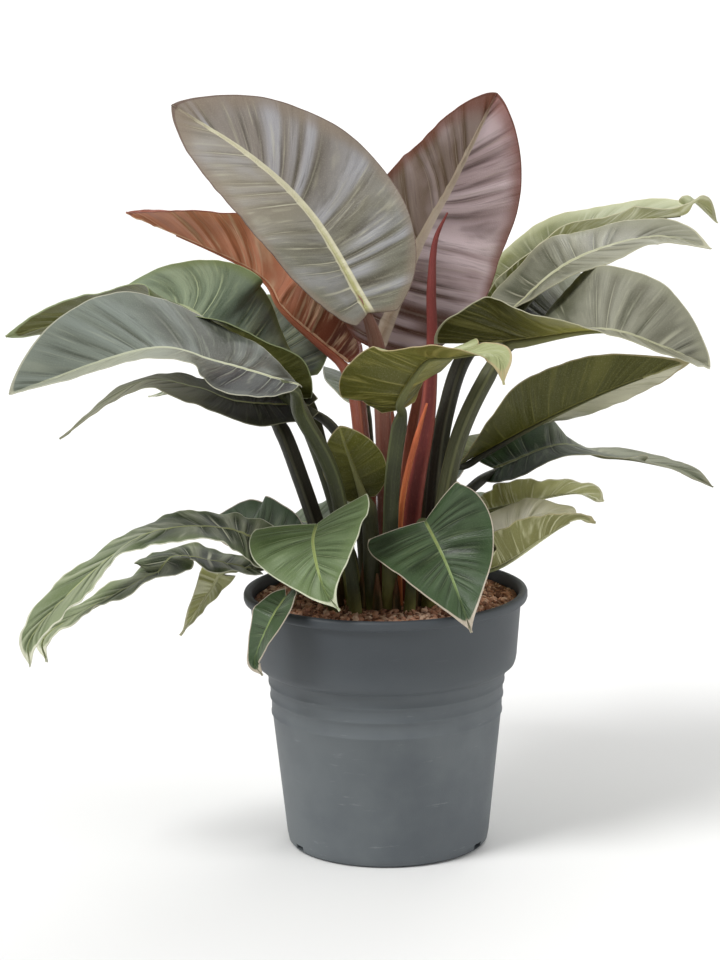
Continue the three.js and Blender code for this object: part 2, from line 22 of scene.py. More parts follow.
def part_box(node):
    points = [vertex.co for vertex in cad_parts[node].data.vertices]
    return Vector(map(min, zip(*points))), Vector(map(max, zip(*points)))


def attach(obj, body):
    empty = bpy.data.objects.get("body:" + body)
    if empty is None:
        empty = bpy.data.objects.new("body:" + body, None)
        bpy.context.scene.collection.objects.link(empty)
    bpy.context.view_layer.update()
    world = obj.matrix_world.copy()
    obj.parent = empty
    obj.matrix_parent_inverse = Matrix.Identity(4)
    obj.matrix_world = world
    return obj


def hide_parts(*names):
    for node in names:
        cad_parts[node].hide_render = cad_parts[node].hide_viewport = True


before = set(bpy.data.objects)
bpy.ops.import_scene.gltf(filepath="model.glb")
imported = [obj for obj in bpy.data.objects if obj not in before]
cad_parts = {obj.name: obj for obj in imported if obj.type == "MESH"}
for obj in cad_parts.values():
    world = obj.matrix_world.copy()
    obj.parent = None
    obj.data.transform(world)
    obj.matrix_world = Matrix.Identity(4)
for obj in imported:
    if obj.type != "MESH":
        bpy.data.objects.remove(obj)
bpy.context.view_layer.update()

LOG = logging.getLogger("philodendron")
MM = 0.001
SOCKET_FLOOR = 198.0

Pair = tuple[float, float]
Point = tuple[float, float, float]
Colour = tuple[float, float, float, float]
Socket = bpy.types.NodeSocket
Value = Union[Socket, float]
Paint = Union[Socket, str]


def linear(colour: str) -> Colour:
    """Turns a screen colour, "#rrggbb", into a solid shader colour."""
    parts = [int(colour[i:i + 2], 16) / 255 for i in (1, 3, 5)]
    return *(c / 12.92 if c <= 0.04045 else ((c + 0.055) / 1.055) ** 2.4 for c in parts), 1.0


def clamp(value: float, low: float = 0.0, high: float = 1.0) -> float:
    """Keeps a value between two limits."""
    return max(low, min(high, value))


def hump(distance: float, width: float) -> float:
    """Falls softly from 1 at no distance to nearly 0 at twice the width."""
    return math.exp(-(distance / width) ** 2)


def blend(a: float, b: float, c: float, q: float) -> float:
    """Runs smoothly through a, b and c at 0, 1/2 and 1."""
    return a * 2 * (q - 0.5) * (q - 1) - b * 4 * q * (q - 1) + c * 2 * q * (q - 0.5)


class Recipe:
    """The nodes of a surface material, or of the world, added one by one."""

    def __init__(self, made: bpy.types.ID, shader: str = "Principled BSDF") -> None:
        """Starts with one shader.

        Args:
            made: The new material or world.
            shader: The name of the shader's node.
        """
        made.use_nodes = True
        self.made = made
        self.tree = made.node_tree
        self.shader = self.tree.nodes[shader]

    def feed(self, socket: Socket, value: "Value | Paint | tuple[float, ...]") -> None:
        """Links a socket to another, or sets its number or colour.

        Args:
            socket: The input that takes the value.
            value: An output socket, a number, several numbers, or a screen colour.
        """
        if isinstance(value, Socket):
            self.tree.links.new(value, socket)
        else:
            socket.default_value = linear(value) if isinstance(value, str) else value

    def node(self, kind: str, inputs: "dict[str | int, object] | None" = None,
             **settings: object) -> bpy.types.Node:
        """Adds a node.

        Args:
            kind: Blender's name of the node type, without its prefix.
            inputs: What feeds its inputs, by their names or numbers.
            settings: The node's own properties.

        Returns:
            The node.
        """
        made = self.tree.nodes.new("ShaderNode" + kind)
        for name, value in settings.items():
            setattr(made, name, value)
        for key, value in (inputs or {}).items():
            self.feed(made.inputs[key], value)
        return made

    def attribute(self, name: str) -> Socket:
        """Reads a number that the mesh holds at each of its points."""
        return self.node("Attribute", attribute_name=name).outputs["Fac"]

    def position(self, stretch: Point = (1.0, 1.0, 1.0)) -> Socket:
        """Reads the place on the piece, in metres, stretched along its axes."""
        place = self.node("TexCoord").outputs["Object"]
        return self.node("Mapping", {"Vector": place, "Scale": stretch}).outputs["Vector"]

    def math(self, operation: str, a: Value, b: Value = 0.0) -> Socket:
        """Works out one step of arithmetic on two numbers."""
        return self.node("Math", {0: a, 1: b}, operation=operation).outputs["Value"]

    def times(self, *values: Value) -> Value:
        """Multiplies numbers."""
        return reduce(lambda a, b: self.math("MULTIPLY", a, b), values)

    def plus(self, *values: Value) -> Value:
        """Adds numbers."""
        return reduce(lambda a, b: self.math("ADD", a, b), values)

    def step(self, value: Value, low: float, high: float, start: float = 0.0,
             end: float = 1.0) -> Socket:
        """Runs smoothly from one number to another, up or down.

        Args:
            value: The number that is read.
            low: Where the step starts.
            high: Where it ends, above or below low.
            start: The step at low and before it.
            end: The step at high and after it.

        Returns:
            The step.
        """
        if low > high:
            low, high, start, end = high, low, end, start
        inputs = {"Value": value, "From Min": low, "From Max": high, "To Min": start,
                  "To Max": end}
        return self.node("MapRange", inputs, interpolation_type="SMOOTHSTEP").outputs["Result"]

    def noise(self, place: Socket, scale: float, detail: float = 3.0,
              roughness: float = 0.5) -> Socket:
        """Makes cloudy variation between 0 and 1.

        Args:
            place: Where it is read.
            scale: How many clouds there are for each unit of place.
            detail: How many finer layers are added.
            roughness: How strong the finer layers are.

        Returns:
            The variation.
        """
        inputs = {"Vector": place, "Scale": scale, "Detail": detail, "Roughness": roughness}
        return self.node("TexNoise", inputs).outputs["Fac"]

    def striation(self, x: Value, y: Value, z: Value, *look: float) -> Socket:
        """Makes variation that is stretched along a surface's own three numbers."""
        place = self.node("CombineXYZ", {0: x, 1: y, 2: z}).outputs["Vector"]
        return self.noise(place, *look)

    def mix(self, share: Value, low: Paint, high: Paint) -> Socket:
        """Blends two colours, from low where the share is 0 to high where it is 1."""
        return self.node("Mix", {0: share, 6: low, 7: high}, data_type="RGBA").outputs[2]

    def cover(self, colour: Paint, *coats: "tuple[Paint | Value, ...]") -> Paint:
        """Lays coats of colour over a first one.

        Args:
            colour: The first colour.
            coats: The colour of each coat, and the shares whose product is its strength.

        Returns:
            The colour of them all.
        """
        for coat, *shares in coats:
            colour = self.mix(self.times(*shares), colour, coat)
        return colour

    def relief(self, height: Socket, depth: float) -> None:
        """Gives the surface a fine relief, from its height of 0 to 1 and depth in metres."""
        bump = self.node("Bump", {"Distance": depth, "Height": height})
        self.feed(self.shader.inputs["Normal"], bump.outputs["Normal"])

    def dress(self, colour: Paint, roughness: Value, specular: float) -> bpy.types.Material:
        """Finishes the recipe.

        Args:
            colour: The surface's colour.
            roughness: How matt it is.
            specular: How strongly it shines.

        Returns:
            The material.
        """
        self.feed(self.shader.inputs["Base Color"], colour)
        self.feed(self.shader.inputs["Roughness"], roughness)
        self.feed(self.shader.inputs["Specular IOR Level"], specular)
        return self.made


@dataclass(frozen=True)
class BladeFinish:
    """The skin of a blade.

    The upper face has one colour on its left half, one on its right and one near the stalk,
    over a reach of the length; painted sheen, in the cloud colour, drifts over all three,
    and the groove colour paints shade in and beside the sunk veins. The underside has one
    colour, and one near the stalk. Where a second base or underside colour is named, it is
    the right half's base or the left half's underside. evenness says how much of the painted
    sheen bands and painted groove shade of the right half shows on the left.
    """

    name: str
    left: str
    right: str
    base: str
    # cloud is the colour of the painted sheen, in bands between the veins and in soft patches
    cloud: str
    # groove is the colour of the painted shade in and beside the sunk veins and in streaks near the
    # midrib, and of the dark mottling
    groove: str
    vein: str
    midrib: str
    rim: str
    under: str
    under_base: str
    under_vein: str
    border: str
    heart: str = "#a3a46c"
    base_right: str = ""
    under_left: str = ""
    reach: float = 0.5
    evenness: float = 1.0
    bordered: float = 0.75
    streaks: float = 0.3
    gloss: float = 0.3
    shine: float = 0.3
    lines: float = 0.6
    sheen: float = 0.5
    shade: float = 0.5

    def material(self) -> bpy.types.Material:
        """Builds the blade's material.

        Returns:
            The material.
        """
        r = Recipe(bpy.data.materials.new(self.name))
        across, out, along, vein, edge = map(
            r.attribute, ("across", "out", "along", "vein", "edge"))
        side = r.math("ABSOLUTE", across)
        half = r.times(r.math("SIGN", across), 3.7)
        right = r.step(across, -2.0, 2.0)
        uneven = r.times(right, 1 - self.evenness)
        mostly_right = r.plus(self.evenness, uneven)
        mostly_left = r.math("SUBTRACT", 1.0, uneven)

        # variation along the veins and over the whole blade
        outward = r.times(side, 0.012)
        panel = r.striation(r.times(r.math("FLOOR", vein), 1.7), outward, half, 1.0, 1.0)
        streak = r.striation(r.times(vein, 2.2), outward, half, 1.6, 4.0, 0.55)
        fine = r.striation(r.times(vein, 7.0), r.times(side, 0.03), half, 1.0, 2.0)
        drift = r.noise(r.position(), 16.0)
        speck = r.noise(r.position(), 900.0, 2.0)

        # painted sheen bands and painted shade on the flanks between the veins, painted shade streaks
        # near the midrib, and a pale hairline on each vein
        phase = r.math("FRACT", vein)
        sheen_bands = r.times(r.step(phase, 0.04, 0.3), r.step(phase, 0.98, 0.5),
                       r.step(panel, 0.36, 0.6), mostly_right, self.sheen)
        flank = r.times(r.step(phase, 0.55, 1.0), r.step(out, 1.0, 0.5), mostly_right,
                        0.5 * self.shade)
        painted_shade_streaks = r.times(r.step(streak, 0.5, 0.3), r.step(out, 1.3, 0.0), mostly_right,
                         self.shade)
        offset = r.math("ABSOLUTE", r.math("SUBTRACT", phase, 0.5))
        hairline = r.times(r.step(offset, 0.455, 0.49), r.step(out, 0.97, 0.3),
                           r.step(streak, 0.3, 0.55))

        # the midrib's band, with its channel, and the border
        reach = r.math("DIVIDE", side, r.attribute("rib"))
        on_rib = r.step(reach, 1.12, 0.92)
        channel = r.cover(self.midrib, (self.heart, r.step(reach, 0.7, 0.2),
                                        r.step(along, 0.6, 0.0), 0.8))
        near_edge = r.step(r.plus(edge, r.times(drift, 14.0)), 19.0, 8.0)

        near_stalk = r.step(along, self.reach, 0.3 * self.reach)
        # The upper face: the colours of the halves and near the stalk, then painted sheen in bands and
        # soft patches of the cloud colour, painted shade on the flanks, in streaks and in the sunk
        # veins, fine mottling, hairlines, the midrib and the border.
        upper = r.cover(
            r.mix(right, r.mix(near_stalk, self.left, self.base),
                  r.mix(near_stalk, self.right, self.base_right or self.base)),
            (self.cloud, sheen_bands), (self.cloud, r.step(drift, 0.5, 0.7), 0.35),
            (self.groove, flank), (self.groove, painted_shade_streaks),
            (self.groove, r.step(fine, 0.45, 0.25), 0.35),
            (self.vein, r.step(fine, 0.54, 0.74), 0.3),
            # painted shade in the sunk veins
            (self.groove, r.attribute("groove"), 0.9, mostly_right),
            (self.vein, hairline, mostly_left, self.lines),
            (channel, on_rib, 0.95), (self.border, near_edge, self.bordered))
        under = r.cover(
            r.mix(right, self.under_left or self.under, self.under),
            (self.under_base, r.step(along, 0.45, 0.05)),
            (self.under_vein, r.step(streak, 0.48, 0.68), self.streaks),
            (self.under_base, r.step(drift, 0.6, 0.35), 0.3),
            (self.under_base, r.step(fine, 0.45, 0.25), 0.3),
            (self.under_vein, hairline, 0.5 * self.lines), (self.under_vein, on_rib, 0.7))
        ragged = r.plus(edge, r.times(drift, 0.5))
        colour = r.cover(
            under, (upper, r.step(r.attribute("upside"), 0.4, 0.6)),
            (self.rim, r.step(ragged, 1.15, 0.75), 0.85),
            (self.vein, r.step(speck, 0.5, 0.72), 0.10))

        r.relief(r.plus(r.times(fine, 0.75), r.times(speck, 0.35)), 0.0007)
        matt = r.plus(self.gloss, r.times(streak, 0.14), r.times(speck, 0.06))
        return r.dress(colour, matt, self.shine)


@dataclass(frozen=True)
class StalkFinish:
    """The skin of a stalk: its flank, two ridges, channel and foot, and its keel on the blade.

    The foot's colour ends at a share of the length, rise.
    """

    name: str
    flank: str
    ridge: str
    channel: str
    foot: str
    keel: str
    rise: float = 0.22
    gloss: float = 0.42

    def material(self) -> bpy.types.Material:
        """Builds the stalk's material.

        Returns:
            The material.
        """
        r = Recipe(bpy.data.materials.new(self.name))
        around, along = map(r.attribute, ("around", "along"))
        grain = r.striation(r.times(around, 26.0), r.times(along, 7.0), 0.0, 1.0, 4.0, 0.6)
        drift = r.noise(r.position(), 22.0)
        speck = r.noise(r.position((1.0, 1.0, 0.45)), 700.0, 2.0)
        colour = r.cover(
            self.flank,
            (self.channel, r.step(drift, 0.4, 0.7), 0.5),
            (self.ridge, r.step(grain, 0.5, 0.72), 0.35),
            (self.channel, r.step(around, 0.2, 0.1)),
            # the ridges' pale band is partly their own paler skin and partly a painted highlight along
            # their edges
            (self.ridge, r.step(around, 0.17, 0.25), r.step(around, 0.36, 0.28), 0.5),
            (self.foot, r.step(along, self.rise, 0.0), 0.8),
            (self.keel, r.step(along, 0.55, 0.75)),
            (self.ridge, r.step(speck, 0.56, 0.75), 0.22))
        r.relief(r.plus(grain, r.times(speck, 0.4)), 0.0006)
        return r.dress(colour, r.plus(self.gloss, r.times(grain, 0.15)), 0.35)


@dataclass(frozen=True)
class PlasticFinish:
    """Slate-grey moulded plastic with faint rings, scuffs and dust, and painted shade towards the top.
    """

    name: str = "slate_grey_plastic"
    body: str = "#646a6d"
    deep: str = "#555b60"
    # collar is painted shade, the shadow of the leaves on the collar and upper body
    collar: str = "#363b40"
    scuff: str = "#8b8f92"

    def material(self) -> bpy.types.Material:
        """Builds the pot's material.

        Returns:
            The material.
        """
        r = Recipe(bpy.data.materials.new(self.name))
        drift = r.noise(r.position(), 9.0, 4.0, 0.6)
        rings = r.noise(r.position((0.02, 0.02, 1.0)), 260.0, 2.0)
        speck = r.noise(r.position(), 1400.0, 2.0)
        scratch = r.noise(r.position((1.0, 1.0, 7.0)), 30.0, 5.0, 0.7)
        level = r.node("SeparateXYZ", {"Vector": r.position()}).outputs["Z"]
        colour = r.cover(
            self.body,
            (self.deep, r.step(drift, 0.35, 0.7)),
            (self.scuff, r.step(scratch, 0.62, 0.76), 0.55),
            (self.scuff, r.step(speck, 0.6, 0.8), 0.12),
            # painted shade of the leaves, darker from the upper body up to the rim
            (self.collar, r.step(level, 0.1, 0.19), 0.85))
        r.relief(r.plus(r.times(rings, 0.5), r.times(speck, 0.5)), 0.00025)
        return r.dress(colour, r.plus(0.46, r.times(drift, 0.16)), 0.45)


@dataclass(frozen=True)
class BarkFinish:
    """Crumbs of bark and peat, each with a tone of its own."""

    name: str
    dark: str = "#6e4a38"
    mid: str = "#cd9a7e"
    light: str = "#e9c8ae"
    warm: str = "#dc9262"

    def material(self) -> bpy.types.Material:
        """Builds the soil's material.

        Returns:
            The material.
        """
        r = Recipe(bpy.data.materials.new(self.name))
        tone = r.attribute("tone")
        grain = r.noise(r.position(), 420.0, 4.0, 0.65)
        colour = r.cover(
            self.dark,
            (self.mid, r.step(tone, 0.0, 0.35)),
            (self.light, r.step(tone, 0.55, 0.95)),
            (self.warm, r.step(grain, 0.52, 0.7), 0.5),
            (self.dark, r.step(grain, 0.45, 0.25), 0.6))
        r.relief(grain, 0.0012)
        return r.dress(colour, 0.88, 0.3)


class StalkTone(Enum):
    """The stalk finishes of the plant."""

    GREEN = StalkFinish("green_stalk", "#2e311a", "#666b42", "#454b2b", "#a2a25c", "#6f7040")
    OLIVE = StalkFinish("olive_stalk", "#3d3e26", "#797b52", "#53553a", "#96964f", "#7c7c4c")
    DARK = StalkFinish("dark_stalk", "#2b2a1f", "#6c6b53", "#3a392c", "#7d7a48", "#5f5f38")
    RED = StalkFinish("red_stalk", "#843f2b", "#b67458", "#9c563e", "#7c4433", "#b4704f")
    ROSE = StalkFinish("rose_grey_stalk", "#7a5a4c", "#a68d7e", "#8a6e60", "#74301f", "#a07a66",
                       rise=1.1)
    PALE = StalkFinish("pale_stalk", "#5d6036", "#a3a578", "#727545", "#7c7a45", "#c2c296")
    SPEAR = StalkFinish("new_leaf_skin", "#843a33", "#a85c4c", "#6a2c29", "#8c4c34", "#7a3430")
    ORANGE = StalkFinish("orange_sheath", "#dc7844", "#ec9c68", "#c8683a", "#b06038", "#cc6c44")
    WITHERED = StalkFinish("withered_sheath", "#6a5638", "#a4865c", "#4c4228", "#7a5c3e",
                           "#6b4a30", gloss=0.6)
    WINE = StalkFinish("red_sheath", "#5c2723", "#8a4a42", "#6b302b", "#5c2723", "#5c2723")


class BladeTone(Enum):
    """The blade finishes of the plant."""

    MAUVE = BladeFinish("mauve_blade", left="#938b7a", right="#857d75", base="#727060", cloud="#a9a9af",
        groove="#4a443b", vein="#c6c2aa", midrib="#cfcaae", rim="#6d5a50", under="#8a5a48",
        under_base="#6d4033", under_vein="#a98c76", border="#857768", heart="#9a9850", evenness=0.3,
        gloss=0.27, sheen=0.68, shade=0.6, lines=0.8, reach=0.6)
    ROSE = BladeFinish("rose_mauve_blade", left="#74604e", right="#bda6a8", base="#5e3c2e",
        cloud="#ddcace", groove="#3d231a", vein="#b5a596", midrib="#c9b8a4", rim="#6d4033",
        under="#8a5a48", under_base="#6d4033", under_vein="#a98c76", border="#78402e", heart="#b59d86",
        evenness=0.4, gloss=0.27, sheen=0.6, shade=0.55, lines=0.5, shine=0.22)
    COPPER = BladeFinish("copper_blade", left="#8a5a4a", right="#8a5a4a", base="#6b3a2e",
        cloud="#a06a55", groove="#55291f", vein="#c8a488", midrib="#c9b59a", rim="#8a4632",
        under="#d68b66", under_base="#68301f", under_vein="#ecc8a4", border="#8f4a34", heart="#b98d6c",
        streaks=0.75, shade=0.7)
    # GREY's dark colours near the stalk are painted shade: on the right half the shadow of the leaf
    # above, on the left lobe shade over its own dark plum.
    GREY = BladeFinish("grey_green_blade", left="#a3a591", right="#757c72", base="#1f1b1f",
        cloud="#848c86", groove="#3d4036", vein="#a8ad9a", midrib="#c0c3ab", rim="#b9b8a4",
        under="#5c5c28", under_base="#38380e", under_vein="#8e8e58", border="#868c80",
        base_right="#3f4037", reach=0.62, gloss=0.28, shine=0.14, evenness=0.35, bordered=0.25)
    ASH = BladeFinish("ash_blade", left="#747262", right="#7c7a62", base="#4e5240", cloud="#9b9b8a",
        groove="#4a4b3a", vein="#b8b7a0", midrib="#b6b698", rim="#b4b196", under="#a09c48",
        under_base="#3a390c", under_vein="#a8a264", border="#8a8a74", gloss=0.28, streaks=0.4)
    SAGE = BladeFinish("sage_blade", left="#71805a", right="#6f7d62", base="#66726c", cloud="#93a084",
        groove="#2a3a20", vein="#b4c098", midrib="#a6ae86", rim="#98a378", under="#56571f",
        under_base="#45461a", under_vein="#8a8a54", border="#6a7848", sheen=0.55, shade=0.7, lines=0.8)
    GREEN = BladeFinish("green_blade", left="#50623a", right="#64784b", base="#4e5f38", cloud="#7f926a",
        groove="#33431f", vein="#a3b285", midrib="#98a764", rim="#d2d4ba", under="#737a48",
        under_base="#4e5428", under_vein="#a8ad7e", border="#627448", shade=0.6)
    STRIPED = BladeFinish("striped_blade", left="#5d6a45", right="#66734e", base="#2c3822",
        cloud="#b2b89a", groove="#2b3620", vein="#d0d2b8", midrib="#aab07e", rim="#d2d2bc",
        under="#84865e", under_base="#4a4c2c", under_vein="#c4c5a2", border="#7d8a66", streaks=0.8,
        lines=0.9, sheen=0.6, shade=0.55, shine=0.15, reach=0.7, bordered=0.4)
    DEEP = BladeFinish("deep_green_blade", left="#2f4126", right="#3a4c2f", base="#2c3b21",
        cloud="#5a6d50", groove="#18230f", vein="#74845f", midrib="#83965f", rim="#c2b5a4",
        under="#3f4322", under_base="#2c2f10", under_vein="#8e9066", border="#3a4e30", gloss=0.26)
    # GLOSSY's pale left and right colours, which show on the tail away from the stalk, are painted
    # reflection of the pale floor; the dark green near the stalk is the leaf's own.
    GLOSSY = BladeFinish("glossy_dark_blade", left="#c4c6ac", right="#b5b89c", base="#243a18",
        cloud="#3f5136", groove="#141d0c", vein="#8c947a", midrib="#9ea488", rim="#a3a088",
        under="#b0b296", under_base="#23290f", under_vein="#8e9066", border="#26361b", reach=0.58,
        gloss=0.24, shade=0.6, sheen=0.3, shine=0.05, bordered=0.3)
    DARK = BladeFinish("dark_blade", left="#a2a28c", right="#8b8c76", base="#1a1b0e", cloud="#3b3d30",
        groove="#101208", vein="#6c7258", midrib="#7d8262", rim="#8d8c74", under="#8f907a",
        under_base="#1f210e", under_vein="#a5a58c", border="#5a5c48", reach=0.85, gloss=0.34,
        shine=0.04, shade=0.4, sheen=0.3, lines=0.3, bordered=0.3)
    OLIVE = BladeFinish("olive_blade", left="#8b9165", right="#8b9165", base="#6d7244", cloud="#9fa67c",
        groove="#5a5f36", vein="#b8bd92", midrib="#b2b88a", rim="#9a8f68", under="#52521a",
        under_base="#3c3c0a", under_vein="#7e7c3e", border="#7d8456", shine=0.2)
    # KEELED's pale left underside is the strip below the keel, painted reflection of the pale floor.
    KEELED = replace(OLIVE, name="pale_keeled_blade", under="#4b4b18", under_base="#38380a",
        under_left="#c4c1a8")
    FRESH = BladeFinish("fresh_olive_blade", left="#a6ad7e", right="#a6ad7e", base="#7a8050",
        cloud="#b4ba90", groove="#666c3e", vein="#c6caa0", midrib="#c0c596", rim="#b09f78",
        under="#64622a", under_base="#4c4b18", under_vein="#a39a58", border="#9aa070", gloss=0.26,
        streaks=0.6, shine=0.25, under_left="#8f8d58", lines=0.9)
    PALE = BladeFinish("pale_blade", left="#aaaf8e", right="#aaaf8e", base="#757a42", cloud="#bdc0a6",
        groove="#6c7150", vein="#cfd1b4", midrib="#d0d2b0", rim="#c6c2a2", under="#a9a972",
        under_base="#85864a", under_vein="#e4e4c2", border="#b5b892", streaks=1.0, sheen=0.4,
        reach=0.75, lines=1.0)
    CREAM = BladeFinish("cream_blade", left="#f0ecd6", right="#eae6cc", base="#b9b694", cloud="#faf6e8",
        groove="#a3a07a", vein="#faf7e6", midrib="#f2efda", rim="#d8d4b8", under="#c8c69c",
        under_base="#8a8854", under_vein="#ecead0", border="#dedabc", streaks=1.0, sheen=0.7, lines=1.0)
    STRAW = BladeFinish("straw_blade", left="#8a8c60", right="#8a8c60", base="#6e703f", cloud="#a4a67e",
        groove="#565830", vein="#bcbd94", midrib="#bcbd94", rim="#a9a078", under="#7c7b46",
        under_base="#5e5e2a", under_vein="#d2d1a8", border="#8a8c60", streaks=1.0, sheen=0.6, lines=1.0)


Finish = Union[BladeFinish, StalkFinish, PlasticFinish, BarkFinish]


@cache
def material_of(finish: Finish) -> bpy.types.Material:
    """Builds a finish's material once, so that pieces with the same finish share it."""
    return finish.material()


def start_mesh(*numbers: str) -> bmesh.types.BMesh:
    """Starts a mesh whose points hold numbers for the materials, and marks for the maker.

    Args:
        numbers: The names of the numbers.

    Returns:
        The empty mesh.
    """
    bm = bmesh.new()
    for name in numbers:
        bm.verts.layers.float.new(name)
    for name in ("done", "cell"):
        bm.verts.layers.int.new(name)
    return bm


def faces_round(verts: Iterable[bmesh.types.BMVert]) -> list[bmesh.types.BMFace]:
    """Lists the faces that meet at some points, each once and in a steady order."""
    return list(dict.fromkeys(face for vert in verts for face in vert.link_faces))


def soften(faces: list[bmesh.types.BMFace], sharp: float = math.pi) -> None:
    """Shades faces smoothly, but for edges that turn by more than an angle.

    Args:
        faces: The faces.
        sharp: The angle in radians.
    """
    for face in faces:
        face.smooth = True
    if sharp < math.pi:
        for edge in {edge for face in faces for edge in face.edges}:
            edge.smooth = edge.calc_face_angle(0.0) < sharp


def to_object(name: str, bm: bmesh.types.BMesh,
              *materials: bpy.types.Material) -> bpy.types.Object:
    """Turns a finished bmesh into an object of the scene.

    Args:
        name: The object's name.
        bm: The mesh, which is freed.
        materials: The object's materials, in the order of the faces' indices.

    Returns:
        The object, at the origin.
    """
    mesh = bpy.data.meshes.new(name)
    bm.to_mesh(mesh)
    bm.free()
    for material in materials:
        mesh.materials.append(material)
    return add_to_scene(name, mesh)


def add_to_scene(name: str, data: bpy.types.ID) -> bpy.types.Object:
    """Makes an object of a mesh, a lamp or a camera, at the origin.

    Args:
        name: The object's name.
        data: What it shows.

    Returns:
        The object, in the scene.
    """
    made = bpy.data.objects.new(name, data)
    bpy.context.scene.collection.objects.link(made)
    return made


def place_piece(name: str, bm: bmesh.types.BMesh, finishes: tuple[Finish, ...], slot: str,
                *nodes: str) -> None:
    """Puts a piece on the plant's one body, in place of its nodes.

    Args:
        name: The piece's name.
        bm: The finished mesh.
        finishes: The finishes of its faces, in the order of the faces' indices.
        slot: The record's material slot, which is not used.
        nodes: The nodes that it stands for.
    """
    piece = to_object(name, bm, *map(material_of, finishes))
    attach(piece, "root")
    if nodes:
        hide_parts(*nodes)
    LOG.info("%s: %d faces", name, len(piece.data.polygons))


class Trail:
    """A smooth line through a few points, read by the share of its length."""

    SPANS = 200
    SAMPLES = 400
    NUDGE = 0.0001

    def __init__(self, points: list[Vector], even: bool) -> None:
        """Measures the line.

        Args:
            points: The points that it runs through.
            even: Whether close points are passed as gently as distant ones.
        """
        self.even = even
        self.spans = len(points) - 1
        self.guides = [points[0] * 2 - points[1], *points, points[-1] * 2 - points[-2]]
        places = [self.point(i / self.SPANS) for i in range(self.SPANS + 1)]
        self.lengths = [0.0]
        for last, place in zip(places, places[1:]):
            self.lengths.append(self.lengths[-1] + (place - last).length)
        self.length = self.lengths[-1]
        times = [self.time_at(i / self.SAMPLES) for i in range(self.SAMPLES + 1)]
        self.places = [self.point(t) for t in times]
        self.headings = [self.heading(t) for t in times]

    def point(self, t: float) -> Vector:
        """Gives the place at a time.

        Args:
            t: The time, from 0 at the first point to 1 at the last.

        Returns:
            The place.
        """
        span = min(int(t * self.spans), self.spans - 1)
        w = t * self.spans - span
        p0, p1, p2, p3 = self.guides[span:span + 4]
        out, into = (p2 - p0) / 2, (p3 - p1) / 2
        if self.even:
            before, here, after = (math.sqrt((b - a).length)
                                   for a, b in ((p0, p1), (p1, p2), (p2, p3)))
            out = (p1 - p0) / before - (p2 - p0) / (before + here) + (p2 - p1) / here
            into = (p2 - p1) / here - (p3 - p1) / (here + after) + (p3 - p2) / after
            out, into = out * here, into * here
        square = (p2 - p1) * 3 - out * 2 - into
        cube = (p1 - p2) * 2 + out + into
        return p1 + out * w + square * w * w + cube * w * w * w

    def heading(self, t: float) -> Vector:
        """Gives the direction of travel at a time."""
        ahead, behind = min(1.0, t + self.NUDGE), max(0.0, t - self.NUDGE)
        return (self.point(ahead) - self.point(behind)).normalized()

    def time_at(self, share: float) -> float:
        """Finds the time at which a share of the length has been run.

        Args:
            share: The share, from 0 to 1.

        Returns:
            The time.
        """
        target = share * self.length
        low = clamp(bisect_right(self.lengths, target) - 1, 0, self.SPANS - 1)
        span = self.lengths[low + 1] - self.lengths[low]
        return (low + clamp((target - self.lengths[low]) / span)) / self.SPANS

    def at(self, share: float) -> tuple[Vector, Vector]:
        """Gives the place and the heading at a share of the length.

        Args:
            share: The share, from 0 to 1.

        Returns:
            The place, and the direction of travel there.
        """
        spot = share * self.SAMPLES
        i = min(int(spot), self.SAMPLES - 1)
        place, heading = (line[i].lerp(line[i + 1], spot - i)
                          for line in (self.places, self.headings))
        return place, heading.normalized()


